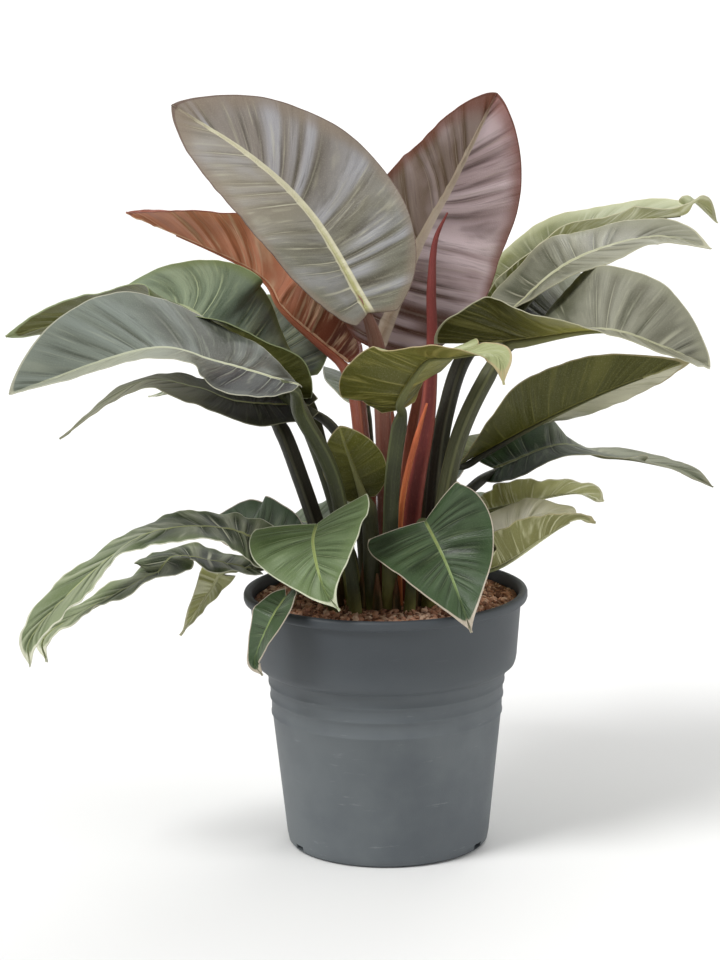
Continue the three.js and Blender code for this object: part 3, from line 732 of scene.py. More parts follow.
@dataclass
class Rod:
    """A round bar that bends along its points, in metres, and has a radius at each.

    upward is where its channel faces at its end.
    """

    points: list[Vector]
    radii: list[float]
    sides: int
    rings: int
    channel: float
    upward: Point = (0, -1, 0)

    def __post_init__(self) -> None:
        """Runs a smooth trail through the points."""
        self.trail = Trail(self.points, even=True)

    def frames(self) -> list[tuple[Vector, Vector, Vector]]:
        """Carries a steady set of axes down the trail from its end.

        Returns:
            The place, the upward axis and the sideways axis at each ring.
        """
        found: list[tuple[Vector, Vector, Vector]] = []
        up = Vector(self.upward)
        for ring in range(self.rings, -1, -1):
            place, heading = self.trail.at(ring / self.rings)
            up = (up - heading * up.dot(heading)).normalized()
            found.append((place, up, heading.cross(up)))
        return found[::-1]

    def radius_at(self, share: float) -> float:
        """Gives the radius at a share of the length.

        Args:
            share: The share, from 0 to 1.

        Returns:
            The radius in metres.
        """
        spot = self.trail.time_at(share) * (len(self.radii) - 1)
        i = min(int(spot), len(self.radii) - 2)
        return self.radii[i] + (self.radii[i + 1] - self.radii[i]) * (spot - i)

    def section(self, angle: float, share: float) -> float:
        """Shapes the rod's section: a channel on top between two low ridges.

        Args:
            angle: The angle from the top, in radians.
            share: The share of the length.

        Returns:
            The factor on the radius.
        """
        turn = abs(math.remainder(angle, math.tau))
        depth = self.channel * clamp(share * 8) * clamp((0.62 - share) * 6)
        return 1 - depth * hump(turn, 0.45) + 0.3 * depth * hump(turn - 0.85, 0.28)

    def add_to(self, bm: bmesh.types.BMesh, material: int = 0) -> None:
        """Adds the rod to a mesh.

        Args:
            bm: The mesh, which has the point numbers around and along.
            material: The index of its material.
        """
        around, along = (bm.verts.layers.float[name] for name in ("around", "along"))
        done = bm.verts.layers.int["done"]
        frames = self.frames()
        ends = bmesh.ops.create_cone(bm, cap_ends=True, cap_tris=False, segments=self.sides,
                                     radius1=1.0, radius2=1.0, depth=1.0)["verts"]
        edges = dict.fromkeys(edge for vert in ends for edge in vert.link_edges)
        lengthwise = [edge for edge in edges if edge.verts[0].co.z != edge.verts[1].co.z]
        bmesh.ops.subdivide_edges(bm, edges=lengthwise, cuts=self.rings - 1,
                                  use_grid_fill=True)
        verts = [vert for vert in bm.verts if not vert[done]]
        for vert in verts:
            vert[done] = 1
            share = clamp(vert.co.z + 0.5)
            place, up, side = frames[round(share * self.rings)]
            angle = math.atan2(vert.co.y, vert.co.x)
            radius = self.radius_at(share) * self.section(angle, share)
            vert[around] = abs(angle) / math.pi
            vert[along] = share
            vert.co = place + (up * math.cos(angle) + side * math.sin(angle)) * radius
        faces = faces_round(verts)
        soften(faces)
        for face in faces:
            face.material_index = material


class Girth(Enum):
    """Stalk radius at the foot, in the middle and at the blade, in millimetres."""

    STOUT = (4.6, 6.4, 4.2)
    SLIM = (3.6, 4.4, 3.2)
    FINE = (2.6, 3.0, 2.2)


STOUT, SLIM, FINE = Girth


@dataclass
class Leaf:
    """One leaf: a stalk, a midrib and a thin, veined and waved blade.

    Sizes are in millimetres and degrees. lobe is how far the base reaches behind the joint,
    notch opens the base, and taper points the tip. facing is where the upper face looks at
    the blade's base, middle and tip, and fold the lift of its left and right half there.
    wave is the height, the number and the start of the ripples. relief is the depth of the
    veins, rib the width of the midrib's band as a share of the stalk's, and frill the height
    of the margin's fine waves.
    """

    name: str
    girth: Girth
    blade: BladeTone
    skin: StalkTone
    slot: str
    width: float
    lobe: float
    taper: float
    foot: Pair
    stalk: tuple[Point, ...]
    spine: tuple[Point, ...]
    facing: tuple[Point, Point, Point] = ((0, -0.17, 0.98),) * 3
    fold: tuple[Pair, Pair, Pair] = ((20, 20), (20, 20), (15, 15))
    wave: Point = (1.5, 4, 0)
    notch: float = 168
    relief: float = 0.7
    rib: float = 0.62
    frill: float = 1.0
    small: bool = False

    THICKNESS = 0.7
    TIP_HALF_WIDTH = 1.0
    LEAN_WIDTH = 5.0
    VEIN_SWEEP = 1.25
    VEIN_BOW = 0.1
    FLARE = 1.5
    SWELL = 1.08
    CREASE = 0.45
    DIP = 0.35
    KEEL_START = 0.02
    KEEL_RUN = 0.78
    KEEL_STEPS = 10
    KEEL_TIP = 0.5
    QUILT = 0.55
    SINK = 0.75
    CLOUD = 26.0
    FRILL = 11.0
    LAYERS = ("across", "out", "along", "vein", "groove", "rib", "upside", "edge", "around")

    def __post_init__(self) -> None:
        """Measures the leaf and draws its natural unevenness."""
        self.trail = Trail([Vector(p) for p in self.spine], even=False)
        self.length = self.trail.length
        self.peak = max(self.bulge(math.radians(degree)) for degree in range(181))
        self.veins, self.rows, self.columns = (9, 72, 7) if self.small else (15, 180, 12)
        rng = random.Random("leaf_" + self.name)
        self.strength = [[rng.uniform(0.15, 1.0) for _ in range(self.veins + 3)]
                         for _ in range(2)]
        self.shift = rng.uniform(0.0, 50.0)

    def bulge(self, angle: float) -> float:
        """Gives the outline's half width at an angle round the blade, before scaling."""
        return math.sin(angle) * ((1 - math.cos(angle)) / 2) ** self.taper

    def margin(self, row: float) -> Pair:
        """Gives the margin's distance along and across the midrib where a vein ends.

        Args:
            row: From 0 at the notch to 1 at the tip.

        Returns:
            The two distances.
        """
        angle = math.radians(self.notch) * (1 - row)
        along = (self.length - self.lobe) / 2 + (self.length + self.lobe) / 2 * math.cos(angle)
        return along, max(self.width / 2 * self.bulge(angle) / self.peak, self.TIP_HALF_WIDTH)

    def rib_at(self, row: float) -> float:
        """Gives the half width of the midrib's band where a vein leaves it.

        Args:
            row: From 0 at the notch to 1 at the tip.

        Returns:
            The half width.
        """
        joint = self.girth.value[2]
        wide = joint * self.rib * (1 - row ** self.VEIN_SWEEP) ** 0.8 + 0.45
        return min(wide, 0.4 * self.margin(row)[1])

    def surface(self, row: float, side: int, out: float) -> tuple[Vector, Vector, float]:
        """Finds a point of the blade's smooth middle sheet.

        Args:
            row: From 0 at the notch to 1 at the tip.
            side: -1 for the left half and 1 for the right.
            out: From 0 on the midrib to 1 at the margin.

        Returns:
            The point in millimetres, where the upper face looks, and the share of the
            blade's length.
        """
        half = 0 if side < 0 else 1
        margin_x, margin_y = self.margin(row)
        vein_x = self.length * row ** self.VEIN_SWEEP
        x = vein_x + (margin_x - vein_x) * out - self.VEIN_BOW * margin_y * out * (1 - out)
        y = margin_y * out
        q = clamp(x / self.length)
        place, tangent = self.trail.at(q)
        place = place + tangent * (x - q * self.length)
        normal = Vector([blend(*looks, q) for looks in zip(*self.facing)])
        normal = (normal - tangent * normal.dot(tangent)).normalized()
        across = tangent.cross(normal) * side
        lift = math.radians(blend(*(pair[half] for pair in self.fold), q))
        height, count, start = self.wave
        phase = math.tau * count * x / self.length + start + half * 1.3
        ripple = height * math.sin(phase) * (2 * y / self.width) ** 2
        place = place + across * (y * math.cos(lift)) + normal * (y * math.sin(lift) + ripple)
        lean = lift * min(1.0, y / self.LEAN_WIDTH)
        return place, normal * math.cos(lean) - across * math.sin(lean), q

    def outs(self, row: float) -> list[float]:
        """Gives the columns' places from the midrib to the margin at a row.

        Args:
            row: From 0 at the notch to 1 at the tip.

        Returns:
            Each place, from 0 on the midrib to 1 at the margin.
        """
        rib = self.rib_at(row) / self.margin(row)[1]
        near = [0.0, 0.5 * rib, 0.85 * rib, 1.15 * rib]
        rest = self.columns - 3
        return near + [near[-1] + (1 - near[-1]) * (1 - (1 - k / rest) ** 1.25)
                       for k in range(1, rest + 1)]

    def vein_at(self, row: float) -> float:
        """Numbers the lateral veins along a half, with a natural unevenness."""
        sway = 0.3 * math.sin(self.shift + 19 * row) + 0.2 * math.sin(2 * self.shift + 41 * row)
        return self.veins * row + sway + 0.6

    def groove_at(self, vein: float, half: int, out: float) -> float:
        """Gives how deep a lateral vein is sunk at a place, from 0 to 1.

        Args:
            vein: The vein's number there.
            half: 0 for the left half and 1 for the right.
            out: From 0 on the midrib to 1 at the margin.

        Returns:
            The depth as a share.
        """
        number = round(vein)
        power = self.strength[half][int(clamp(number, 0, self.veins + 2))]
        return power * hump(vein - number, 0.14) * clamp(out * 12) * clamp((1.02 - out) * 1.6)

    def swell_at(self, vein: float, half: int, out: float, place: Vector) -> float:
        """Gives how far the skin stands off the smooth sheet.

        Args:
            vein: The vein's number there.
            half: 0 for the left half and 1 for the right.
            out: From 0 on the midrib to 1 at the margin.
            place: The point of the smooth sheet, in millimetres.

        Returns:
            The distance in millimetres.
        """
        quilt = 0.5 - 0.5 * math.cos(math.tau * vein)
        body = clamp(out * 6) * clamp((1.0 - out) * 3)
        cloud = noise.noise(place / self.CLOUD + Vector((self.shift, half * 9, 0)))
        frill = noise.noise(place / self.FRILL + Vector((0, self.shift, half * 7)))
        sunk = self.SINK * self.groove_at(vein, half, out)
        swell = self.relief * (self.QUILT * quilt * body - sunk)
        return swell + 0.9 * cloud * clamp(out * 3) + self.frill * frill * out ** 3

    def crease_at(self, row: float, out: float) -> float:
        """Gives the height of the midrib's band on the upper face, in millimetres.

        Args:
            row: From 0 at the notch to 1 at the tip.
            out: From 0 on the midrib to 1 at the margin.

        Returns:
            The height, below 0 in the channel.
        """
        rib = self.rib_at(row)
        reach = out * self.margin(row)[1] / rib
        bulge = self.CREASE * hump(reach - 0.8, 0.35) - self.DIP * hump(reach, 0.5)
        return min(1.0, rib / 2.5) * bulge

    def add_blade(self, bm: bmesh.types.BMesh) -> None:
        """Adds the blade to a mesh, as a closed slab with a relief of veins.

        Args:
            bm: The mesh, which has the point numbers of LAYERS.
        """
        layer = {name: bm.verts.layers.float[name] for name in self.LAYERS}
        cell, done = (bm.verts.layers.int[name] for name in ("cell", "done"))
        wide = 2 * self.columns
        grid = bmesh.ops.create_grid(bm, x_segments=wide, y_segments=self.rows, size=1.0)["verts"]
        outs = [self.outs(row / self.rows) for row in range(self.rows + 1)]
        spots: list[tuple[Vector, Vector, float]] = []
        for vert in grid:
            column = round((vert.co.x + 1) / 2 * wide) - self.columns
            step = round((vert.co.y + 1) / 2 * self.rows)
            row = step / self.rows
            half = 0 if column < 0 else 1
            side = 2 * half - 1
            out = outs[step][abs(column)]
            place, normal, along = self.surface(row, side, out)
            margin = self.margin(row)[1]
            vein = self.vein_at(row)
            vert[cell] = len(spots)
            vert[done] = 1
            numbers = {"across": side * margin * out, "out": out, "along": along, "vein": vein,
                       "groove": self.groove_at(vein, half, out), "rib": self.rib_at(row),
                       "edge": min(margin * (1 - out), row * self.length)}
            for name, number in numbers.items():
                vert[layer[name]] = number
            place = place + normal * self.swell_at(vein, half, out, place)
            spots.append((place, normal, self.crease_at(row, out)))
        grown = bmesh.ops.extrude_face_region(bm, geom=faces_round(grid),
                                              use_keep_orig=True)["geom"]
        upper = [g for g in grown if isinstance(g, bmesh.types.BMVert)]
        for verts, above in ((grid, 0), (upper, 1)):
            for vert in verts:
                place, normal, crease = spots[vert[cell]]
                vert[layer["upside"]] = above
                lift = self.THICKNESS / 2 + crease if above else -self.THICKNESS / 2
                vert.co = (place + normal * lift) * MM
        faces = faces_round(grid + upper)
        bmesh.ops.recalc_face_normals(bm, faces=faces)
        soften(faces, sharp=1.0)

    def keel(self) -> Rod:
        """Runs the stalk from the soil to the joint, and on under the blade as its midrib.

        Returns:
            The stalk, in metres.
        """
        foot, middle, joint = self.girth.value
        points = [Vector((*self.foot, SOCKET_FLOOR)), *(Vector(p) for p in self.stalk)]
        radii = [foot * self.FLARE] + [middle * self.SWELL] * len(self.stalk)
        for step in range(self.KEEL_STEPS + 1):
            reach = self.KEEL_START + self.KEEL_RUN * step / self.KEEL_STEPS
            radius = self.KEEL_TIP + (joint - self.KEEL_TIP) * (1 - reach) ** 2.2
            place, normal, _ = self.surface(reach ** (1 / self.VEIN_SWEEP), 1, 0.0)
            points.append(place - normal * (0.1 + radius))
            radii.append(radius)
        sides, rings = (12, 44) if self.small else (16, 84)
        return Rod([p * MM for p in points], [r * MM for r in radii], sides, rings,
                   channel=0.3, upward=self.surface(1.0, 1, 0.0)[1])

    def build(self) -> None:
        """Makes the leaf and puts it in place of its node."""
        bm = start_mesh(*self.LAYERS)
        self.add_blade(bm)
        self.keel().add_to(bm, 1)
        finishes = (self.blade.value, self.skin.value)
        place_piece(self.name + "_leaf", bm, finishes, self.slot, "leaf_" + self.name)


LEAVES: tuple[Leaf, ...] = (
    Leaf("upper_left", STOUT, BladeTone.MAUVE, StalkTone.ROSE, "leaf_mauve",
         width=146, lobe=14, taper=0.29, notch=165, relief=1.3, rib=1.15, foot=(0, 0),
         stalk=((0, 1, 341), (-5, -3, 426)),
         spine=((-12, -11, 457), (-57, 27, 531), (-106, 39, 580), (-174, 54, 625)),
         facing=((0.16, -0.94, 0.33), (0.06, -0.92, 0.4), (0.13, -0.94, 0.35)),
         fold=((39, 3), (37, 6), (16, 7))),
    Leaf("upper_right", STOUT, BladeTone.ROSE, StalkTone.RED, "leaf_mauve",
         width=148, lobe=4, taper=0.18, notch=165, relief=1.7, rib=1.6, foot=(12, 14),
         stalk=((6, 32, 334), (-2, 50, 393)),
         spine=((-5, 56, 415), (30, 90, 497), (62, 121, 550), (101, 122, 626)),
         facing=((-0.17, -0.97, 0.23), (0, -1, -0.07), (-0.02, -0.96, 0.28)),
         fold=((31, 10), (40, -7), (39, 12)), wave=(2, 4, 1)),
    Leaf("copper", STOUT, BladeTone.COPPER, StalkTone.RED, "leaf_copper",
         width=126, lobe=10, taper=0.3, notch=165, relief=1.8, foot=(-8, 22),
         stalk=((-18, 46, 334), (-26, 75, 386)),
         spine=((-30, 84, 400), (-82, 106, 441), (-111, 117, 476), (-220, 126, 526)),
         facing=((0, 0.25, 0.97), (0, 0.21, 0.98), (0, -0.04, 1)), fold=((45, 26), (46, 32), (35, 32))),
    Leaf("left_green", STOUT, BladeTone.SAGE, StalkTone.GREEN, "leaf_green",
         width=133, lobe=12, taper=0.44, notch=170, relief=1.0, foot=(-20, -6),
         stalk=((-46, -9, 314), (-72, -2, 381)),
         spine=((-75, 22, 380), (-137, 24, 436), (-190, 50, 458), (-319, 48, 432)),
         facing=((-0.04, 0.03, 1), (-0.16, -0.08, 1), (0.02, 0.53, 0.85)),
         fold=((46, 21), (28, 20), (29, -11)), wave=(2, 4, 0)),
    Leaf("left_grey", STOUT, BladeTone.GREY, StalkTone.GREEN, "leaf_grey",
         width=143, lobe=1, taper=0.28, notch=170, relief=0.8, foot=(-24, -24),
         stalk=((-42, -54, 327), (-68, -86, 388)),
         spine=((-68, -119, 416), (-134, -100, 432), (-189, -107, 444), (-298, -135, 414)),
         facing=((-0.08, 0.23, 0.97), (0.03, -0.29, 0.96), (-0.01, -0.74, 0.67)),
         fold=((-24, -7), (20, 15), (51, 28)), wave=(1.5, 3, 2)),
    Leaf("left_dark", SLIM, BladeTone.DARK, StalkTone.DARK, "leaf_dark",
         width=85, lobe=11, taper=0.58, notch=170, relief=1.0, rib=0.4, foot=(-14, 6),
         stalk=((-28, 20, 325), (-46, 36, 356)),
         spine=((-64, 41, 370), (-123, 34, 376), (-158, 31, 389), (-207, 31, 393), (-272, 8, 350)),
         facing=((-0.02, -0.34, 0.94), (-0.08, -0.07, 1), (0.04, 0.27, 0.96)),
         fold=((2, 12), (-2, -4), (8, 18))),
    Leaf("left_hidden", STOUT, BladeTone.GREEN, StalkTone.DARK, "leaf_green",
         width=84, lobe=12, taper=0.5, notch=170, foot=(-34, 6), stalk=((-70, 16, 310), (-86, 34, 350)),
         spine=((-95, 48, 366), (-125, 78, 372), (-160, 112, 372), (-205, 140, 362)),
         facing=((0, -0.17, 0.98), (0, -0.09, 1), (0, 0, 1)), fold=((10, 15), (10, 15), (10, 10))),
    Leaf("front_arching", STOUT, BladeTone.FRESH, StalkTone.GREEN, "leaf_olive",
         width=106, lobe=23, taper=0.75, notch=165, relief=0.8, foot=(2, -34),
         stalk=((6, -50, 325), (12, -58, 370)),
         spine=((15, -60, 384), (14, -77, 397), (33, -95, 429), (50, -122, 437), (88, -133, 440),
                (94, -153, 420)), facing=((0.1, 0.86, 0.5), (0.02, 0.7, 0.71), (0, -0.79, 0.61)),
         fold=((67, 19), (35, -9), (18, 21)), wave=(1, 3, 0)),
    Leaf("right_broad", STOUT, BladeTone.ASH, StalkTone.OLIVE, "leaf_grey",
         width=139, lobe=57, taper=0.16, notch=172, relief=1.2, foot=(34, -30),
         stalk=((60, -38, 350), (86, -38, 408)),
         spine=((99, -18, 432), (178, -36, 444), (227, -42, 431), (269, -33, 411)),
         facing=((0.01, 0.52, 0.85), (0.1, -0.49, 0.87), (-0.02, -0.5, 0.87)),
         fold=((17, 13), (19, 36), (30, 30)), wave=(2, 3, 0)),
    Leaf("right_grey", STOUT, BladeTone.ASH, StalkTone.DARK, "leaf_grey",
         width=89, lobe=18, taper=0.42, notch=170, relief=0.8, foot=(34, -4),
         stalk=((52, 12, 365), (74, 38, 418)),
         spine=((99, 51, 437), (159, 53, 488), (232, 83, 505), (279, 55, 498)),
         facing=((0.08, 0.05, 1), (-0.19, -0.3, 0.95), (-0.08, -0.33, 0.95)),
         fold=((36, 16), (6, 10), (23, 24)), wave=(1.5, 3, 1)),
    Leaf("right_yellow", SLIM, BladeTone.PALE, StalkTone.DARK, "leaf_pale",
         width=103, lobe=6, taper=0.48, notch=170, foot=(28, 22), stalk=((48, 58, 349), (74, 93, 410)),
         spine=((94, 113, 435), (154, 145, 482), (223, 161, 508), (264, 145, 516), (275, 146, 527),
                (295, 156, 507)), facing=((0.01, 0.39, 0.92), (-0.06, 0.22, 0.97), (-0.08, 0.16, 0.99)),
         fold=((35, 34), (36, 16), (20, 19)), wave=(1.5, 3, 0)),
    Leaf("right_olive", SLIM, BladeTone.KEELED, StalkTone.DARK, "leaf_olive",
         width=102, lobe=19, taper=0.43, foot=(47, 9), stalk=((46, 12, 295), (56, 18, 322)),
         spine=((63, 22, 321), (131, 30, 355), (194, 36, 382), (260, 28, 407)),
         facing=((0.03, 0.11, 0.99), (0.01, 0.64, 0.77), (0.02, 0.73, 0.69)),
         fold=((27, 7), (18, 25), (8, 16)), wave=(1, 3, 0)),
    Leaf("right_dark", SLIM, BladeTone.GLOSSY, StalkTone.DARK, "leaf_dark",
         width=89, lobe=15, taper=0.47, notch=165, relief=0.9, foot=(44, 38),
         stalk=((60, 52, 276), (82, 64, 298)),
         spine=((96, 84, 305), (152, 80, 326), (189, 96, 313), (217, 115, 306), (261, 115, 295),
                (287, 99, 283)),
         facing=((-0.02, -0.56, 0.83), (-0.11, -0.11, 0.99), (-0.07, 0.29, 0.96)),
         fold=((-1, 21), (4, 9), (29, -2))),
    Leaf("low_right_upper", FINE, BladeTone.PALE, StalkTone.PALE, "leaf_pale",
         width=64, lobe=8, taper=0.4, notch=170, relief=1.2, rib=0.5, frill=3.5, small=True,
         foot=(58, 14), stalk=((56, 16, 254),),
         spine=((83, 17, 282), (100, 22, 285), (160, 21, 296), (187, 36, 285)),
         facing=((0.02, 0.57, 0.82), (-0.03, 0.43, 0.9), (-0.03, 0.49, 0.87)),
         fold=((24, 29), (20, 17), (11, 11)), wave=(1.5, 3, 0)),
    Leaf("low_right_middle", FINE, BladeTone.CREAM, StalkTone.PALE, "leaf_pale",
         width=52, lobe=7, taper=0.33, notch=170, relief=1.2, rib=0.5, frill=3.5, small=True,
         foot=(57, -4), stalk=((55, 0, 241),),
         spine=((69, -3, 237), (114, -1, 276), (150, 8, 283), (162, 5, 279)),
         facing=((-0.01, -0.47, 0.88), (-0.01, -0.45, 0.89), (0, -0.35, 0.94)),
         fold=((8, 20), (8, 20), (11, 10)), wave=(1.5, 3, 2)),
    Leaf("low_right_front", FINE, BladeTone.STRAW, StalkTone.PALE, "leaf_olive",
         width=67, lobe=6, taper=0.45, notch=170, relief=1.2, rib=0.5, frill=3.5, small=True,
         foot=(50, -22), stalk=((55, -52, 236),),
         spine=((67, -72, 251), (97, -61, 254), (151, -68, 290), (173, -61, 287)),
         facing=((0.04, 0.39, 0.92), (0.05, 0.47, 0.88), (-0.07, 0.31, 0.95)),
         fold=((26, 18), (27, 28), (11, 10)), wave=(1.5, 3, 1)),
    Leaf("front_right", SLIM, BladeTone.DEEP, StalkTone.GREEN, "leaf_green",
         width=107, lobe=25, taper=0.82, notch=134, relief=0.8, rib=0.35, foot=(18, -44),
         stalk=((24, -52, 268), (30, -58, 288)),
         spine=((33, -66, 292), (48, -90, 264), (60, -111, 235), (68, -129, 213)),
         facing=((-0.52, -0.76, 0.65), (-0.24, -0.78, 0.63), (-0.21, -0.97, 0.24)),
         fold=((28, 20), (0, 27), (9, 7)), wave=(1.5, 3, 0)),
    Leaf("front_left", SLIM, BladeTone.GREEN, StalkTone.GREEN, "leaf_green",
         width=114, lobe=20, taper=0.96, notch=134, relief=0.6, rib=0.4, frill=2.0, foot=(-24, -46),
         stalk=((-34, -50, 273), (-46, -60, 290)),
         spine=((-56, -68, 291), (-59, -90, 278), (-51, -116, 249), (-38, -127, 232)),
         facing=((-0.55, -0.65, 0.76), (-0.43, -0.83, 0.56), (-0.21, -0.95, 0.32)),
         fold=((12, 12), (8, 12), (12, 10)), wave=(1.5, 3, 1)),
    Leaf("over_rim", FINE, BladeTone.DEEP, StalkTone.GREEN, "leaf_green",
         width=36, lobe=10, taper=0.48, relief=0.5, rib=0.3, small=True, foot=(-40, -44),
         stalk=((-52, -66, 236), (-66, -82, 242)),
         spine=((-82, -88, 235), (-94, -110, 221), (-108, -96, 184), (-102, -105, 173)),
         facing=((-0.42, -0.64, 0.77), (-0.4, -0.72, 0.69), (-0.42, -0.7, 0.71)),
         fold=((28, 11), (18, 21), (22, 17)), wave=(0.5, 3, 0)),
    Leaf("low_left_pale", FINE, BladeTone.PALE, StalkTone.PALE, "leaf_pale",
         width=32, lobe=9, taper=0.67, relief=1.2, rib=0.5, frill=3.0, small=True, foot=(-58, 14),
         stalk=((-74, 15, 238), (-110, 20, 250)),
         spine=((-124, 18, 236), (-139, 10, 234), (-146, 11, 222), (-174, -1, 181)),
         facing=((0.28, 0.43, 0.9), (0.29, 0.56, 0.83), (0.26, 0.54, 0.84)),
         fold=((14, 17), (13, 20), (12, 15)), wave=(1, 3, 0)),
    Leaf("low_left_front", SLIM, BladeTone.STRIPED, StalkTone.OLIVE, "leaf_green",
         width=79, lobe=11, taper=0.4, relief=1.6, rib=0.4, frill=3.0, foot=(-44, -26),
         stalk=((-56, -34, 248), (-78, -42, 262)),
         spine=((-89, -45, 263), (-130, -59, 286), (-185, -85, 291), (-226, -88, 269),
                (-286, -102, 213), (-291, -114, 185)),
         facing=((-0.21, -0.5, 0.87), (-0.09, 0.07, 1), (-0.49, -0.86, 0.51)),
         fold=((-20, 12), (-3, 6), (10, 18)), wave=(2.5, 4, 0)),
    Leaf("low_left_twisted", FINE, BladeTone.STRIPED, StalkTone.OLIVE, "leaf_grey",
         width=52, lobe=11, taper=0.53, relief=1.6, rib=0.4, frill=3.0, foot=(-52, -6),
         stalk=((-64, -10, 232), (-88, -12, 244)),
         spine=((-111, -17, 242), (-172, -26, 256), (-189, -49, 248), (-209, -54, 239),
                (-280, -52, 197), (-281, -76, 179)),
         facing=((-0.13, -0.25, 0.97), (-0.21, 0, 1), (-0.34, -0.61, 0.79)),
         fold=((4, 5), (-1, 13), (22, 15)), wave=(3, 5, 0)),
    Leaf("low_left_humped", FINE, BladeTone.DEEP, StalkTone.GREEN, "leaf_green",
         width=69, lobe=6, taper=0.48, foot=(-46, 16), stalk=((-54, 17, 246),),
         spine=((-76, 20, 252), (-115, 48, 258), (-126, 80, 258), (-160, 110, 255)),
         facing=((0, -0.51, 0.86), (-0.03, -0.48, 0.88), (0, -0.34, 0.94)),
         fold=((20, 36), (20, 41), (20, 20)), wave=(1.5, 3, 0)),
    Leaf("centre_folded", STOUT, BladeTone.OLIVE, StalkTone.OLIVE, "leaf_olive",
         width=54, lobe=4, taper=0.2, notch=165, relief=0.4, small=True, foot=(-12, -30),
         stalk=((-12, -30, 270), (-14, -28, 296)),
         spine=((-17, -28, 305), (-24, -30, 325), (-32, -30, 348), (-37, -22, 364)),
         facing=((0, 0.97, 0.26), (0, 0.97, 0.26), (0, 0.98, 0.17)), fold=((10, 10),) * 3,
         wave=(0.5, 3, 0)),
    Leaf("back_upright", SLIM, BladeTone.MAUVE, StalkTone.RED, "leaf_mauve",
         width=94, lobe=12, taper=0.3, foot=(6, 34), stalk=((24, 62, 340), (38, 100, 396)),
         spine=((38, 118, 412), (32, 152, 450), (20, 186, 495), (4, 212, 530)),
         facing=((0, -0.94, 0.34), (0, -0.94, 0.34), (0, -0.87, 0.5)), fold=((15, 15),) * 3),
    Leaf("back_left", SLIM, BladeTone.SAGE, StalkTone.GREEN, "leaf_green",
         width=118, lobe=12, taper=0.4, foot=(-28, 30), stalk=((-46, 54, 300), (-62, 80, 362)),
         spine=((-74, 98, 385), (-110, 138, 408), (-155, 182, 415), (-215, 222, 398)),
         facing=((0, -0.17, 0.98), (0, -0.26, 0.97), (0, -0.17, 0.98)), wave=(1.5, 4, 1)),
    Leaf("back_right", SLIM, BladeTone.GREY, StalkTone.GREEN, "leaf_grey",
         width=110, lobe=12, taper=0.4, foot=(24, 36), stalk=((60, 64, 325), (98, 90, 398)),
         spine=((114, 104, 414), (162, 142, 432), (208, 180, 438), (258, 218, 424))),
    Leaf("back_low", SLIM, BladeTone.DEEP, StalkTone.GREEN, "leaf_dark",
         width=112, lobe=14, taper=0.5, foot=(10, 50), stalk=((14, 60, 268),),
         spine=((15, 75, 280), (20, 115, 285), (20, 165, 270), (25, 205, 235)),
         facing=((0, -0.3, 0.95), (0, 0, 1), (0, 0.5, 0.86))),
    Leaf("back_low_left", SLIM, BladeTone.GREEN, StalkTone.OLIVE, "leaf_green",
         width=84, lobe=12, taper=0.5, foot=(-24, 46), stalk=((-30, 52, 240),),
         spine=((-40, 60, 255), (-65, 100, 255), (-90, 140, 245), (-115, 175, 220)), wave=(1.5, 4, 2)),
    Leaf("back_low_right", SLIM, BladeTone.GREEN, StalkTone.OLIVE, "leaf_green",
         width=84, lobe=12, taper=0.5, foot=(36, 50), stalk=((50, 60, 242),),
         spine=((60, 70, 255), (95, 110, 255), (125, 150, 250), (160, 185, 230)), wave=(1.5, 4, 1)),
    Leaf("back_middle", SLIM, BladeTone.GREEN, StalkTone.GREEN, "leaf_green",
         width=84, lobe=14, taper=0.5, foot=(-10, 40), stalk=((-12, 60, 318), (-14, 76, 350)),
         spine=((-14, 88, 362), (-12, 132, 372), (-10, 180, 362), (-8, 222, 340)),
         facing=((0, -0.3, 0.95), (0, 0, 1), (0, 0.5, 0.86)), fold=((25, 25), (20, 20), (15, 15)),
         wave=(1.5, 4, 1)),
)


@dataclass
class Spike:
    """A rolled leaf or a thin sheath: a tapering rod with a lapped seam."""

    node: str
    skin: StalkTone
    slot: str
    foot: Pair
    path: tuple[Point, ...]
    girth: tuple[float, ...]
    sides: int = 12
    rings: int = 40

    def build(self) -> None:
        """Makes the spike and puts it in place of its node."""
        bm = start_mesh("around", "along")
        points = [Vector((*self.foot, SOCKET_FLOOR)), *(Vector(p) for p in self.path)]
        Rod([p * MM for p in points], [r * MM for r in self.girth], self.sides, self.rings,
            channel=0.28).add_to(bm)
        place_piece(self.node + "_fine", bm, (self.skin.value,), self.slot, self.node)


SPIKES: tuple[Spike, ...] = (
    Spike("new_leaf", StalkTone.SPEAR, "new_leaf_red", foot=(16, -8),
          path=((20, -10, 265), (26, -10, 315), (36, -5, 365), (41, 0, 430), (41, 5, 475),
                (45, 10, 515), (55, 10, 537)),
          girth=(7, 8.5, 8.5, 7, 4.6, 4, 2.2, 0.7), sides=24, rings=90),
    Spike("sheath_orange", StalkTone.ORANGE, "sheath_dry", foot=(12, -24),
          path=((12, -27, 270), (16, -25, 310), (26, -23, 350), (36, -20, 382)),
          girth=(2.4, 2.4, 2.6, 2.6, 1)),
    Spike("sheath_red", StalkTone.WINE, "sheath_red", foot=(46, 24),
          path=((50, 32, 255), (53, 37, 290), (57, 44, 326)), girth=(2, 2.2, 2.2, 0.8),
          rings=30),
)


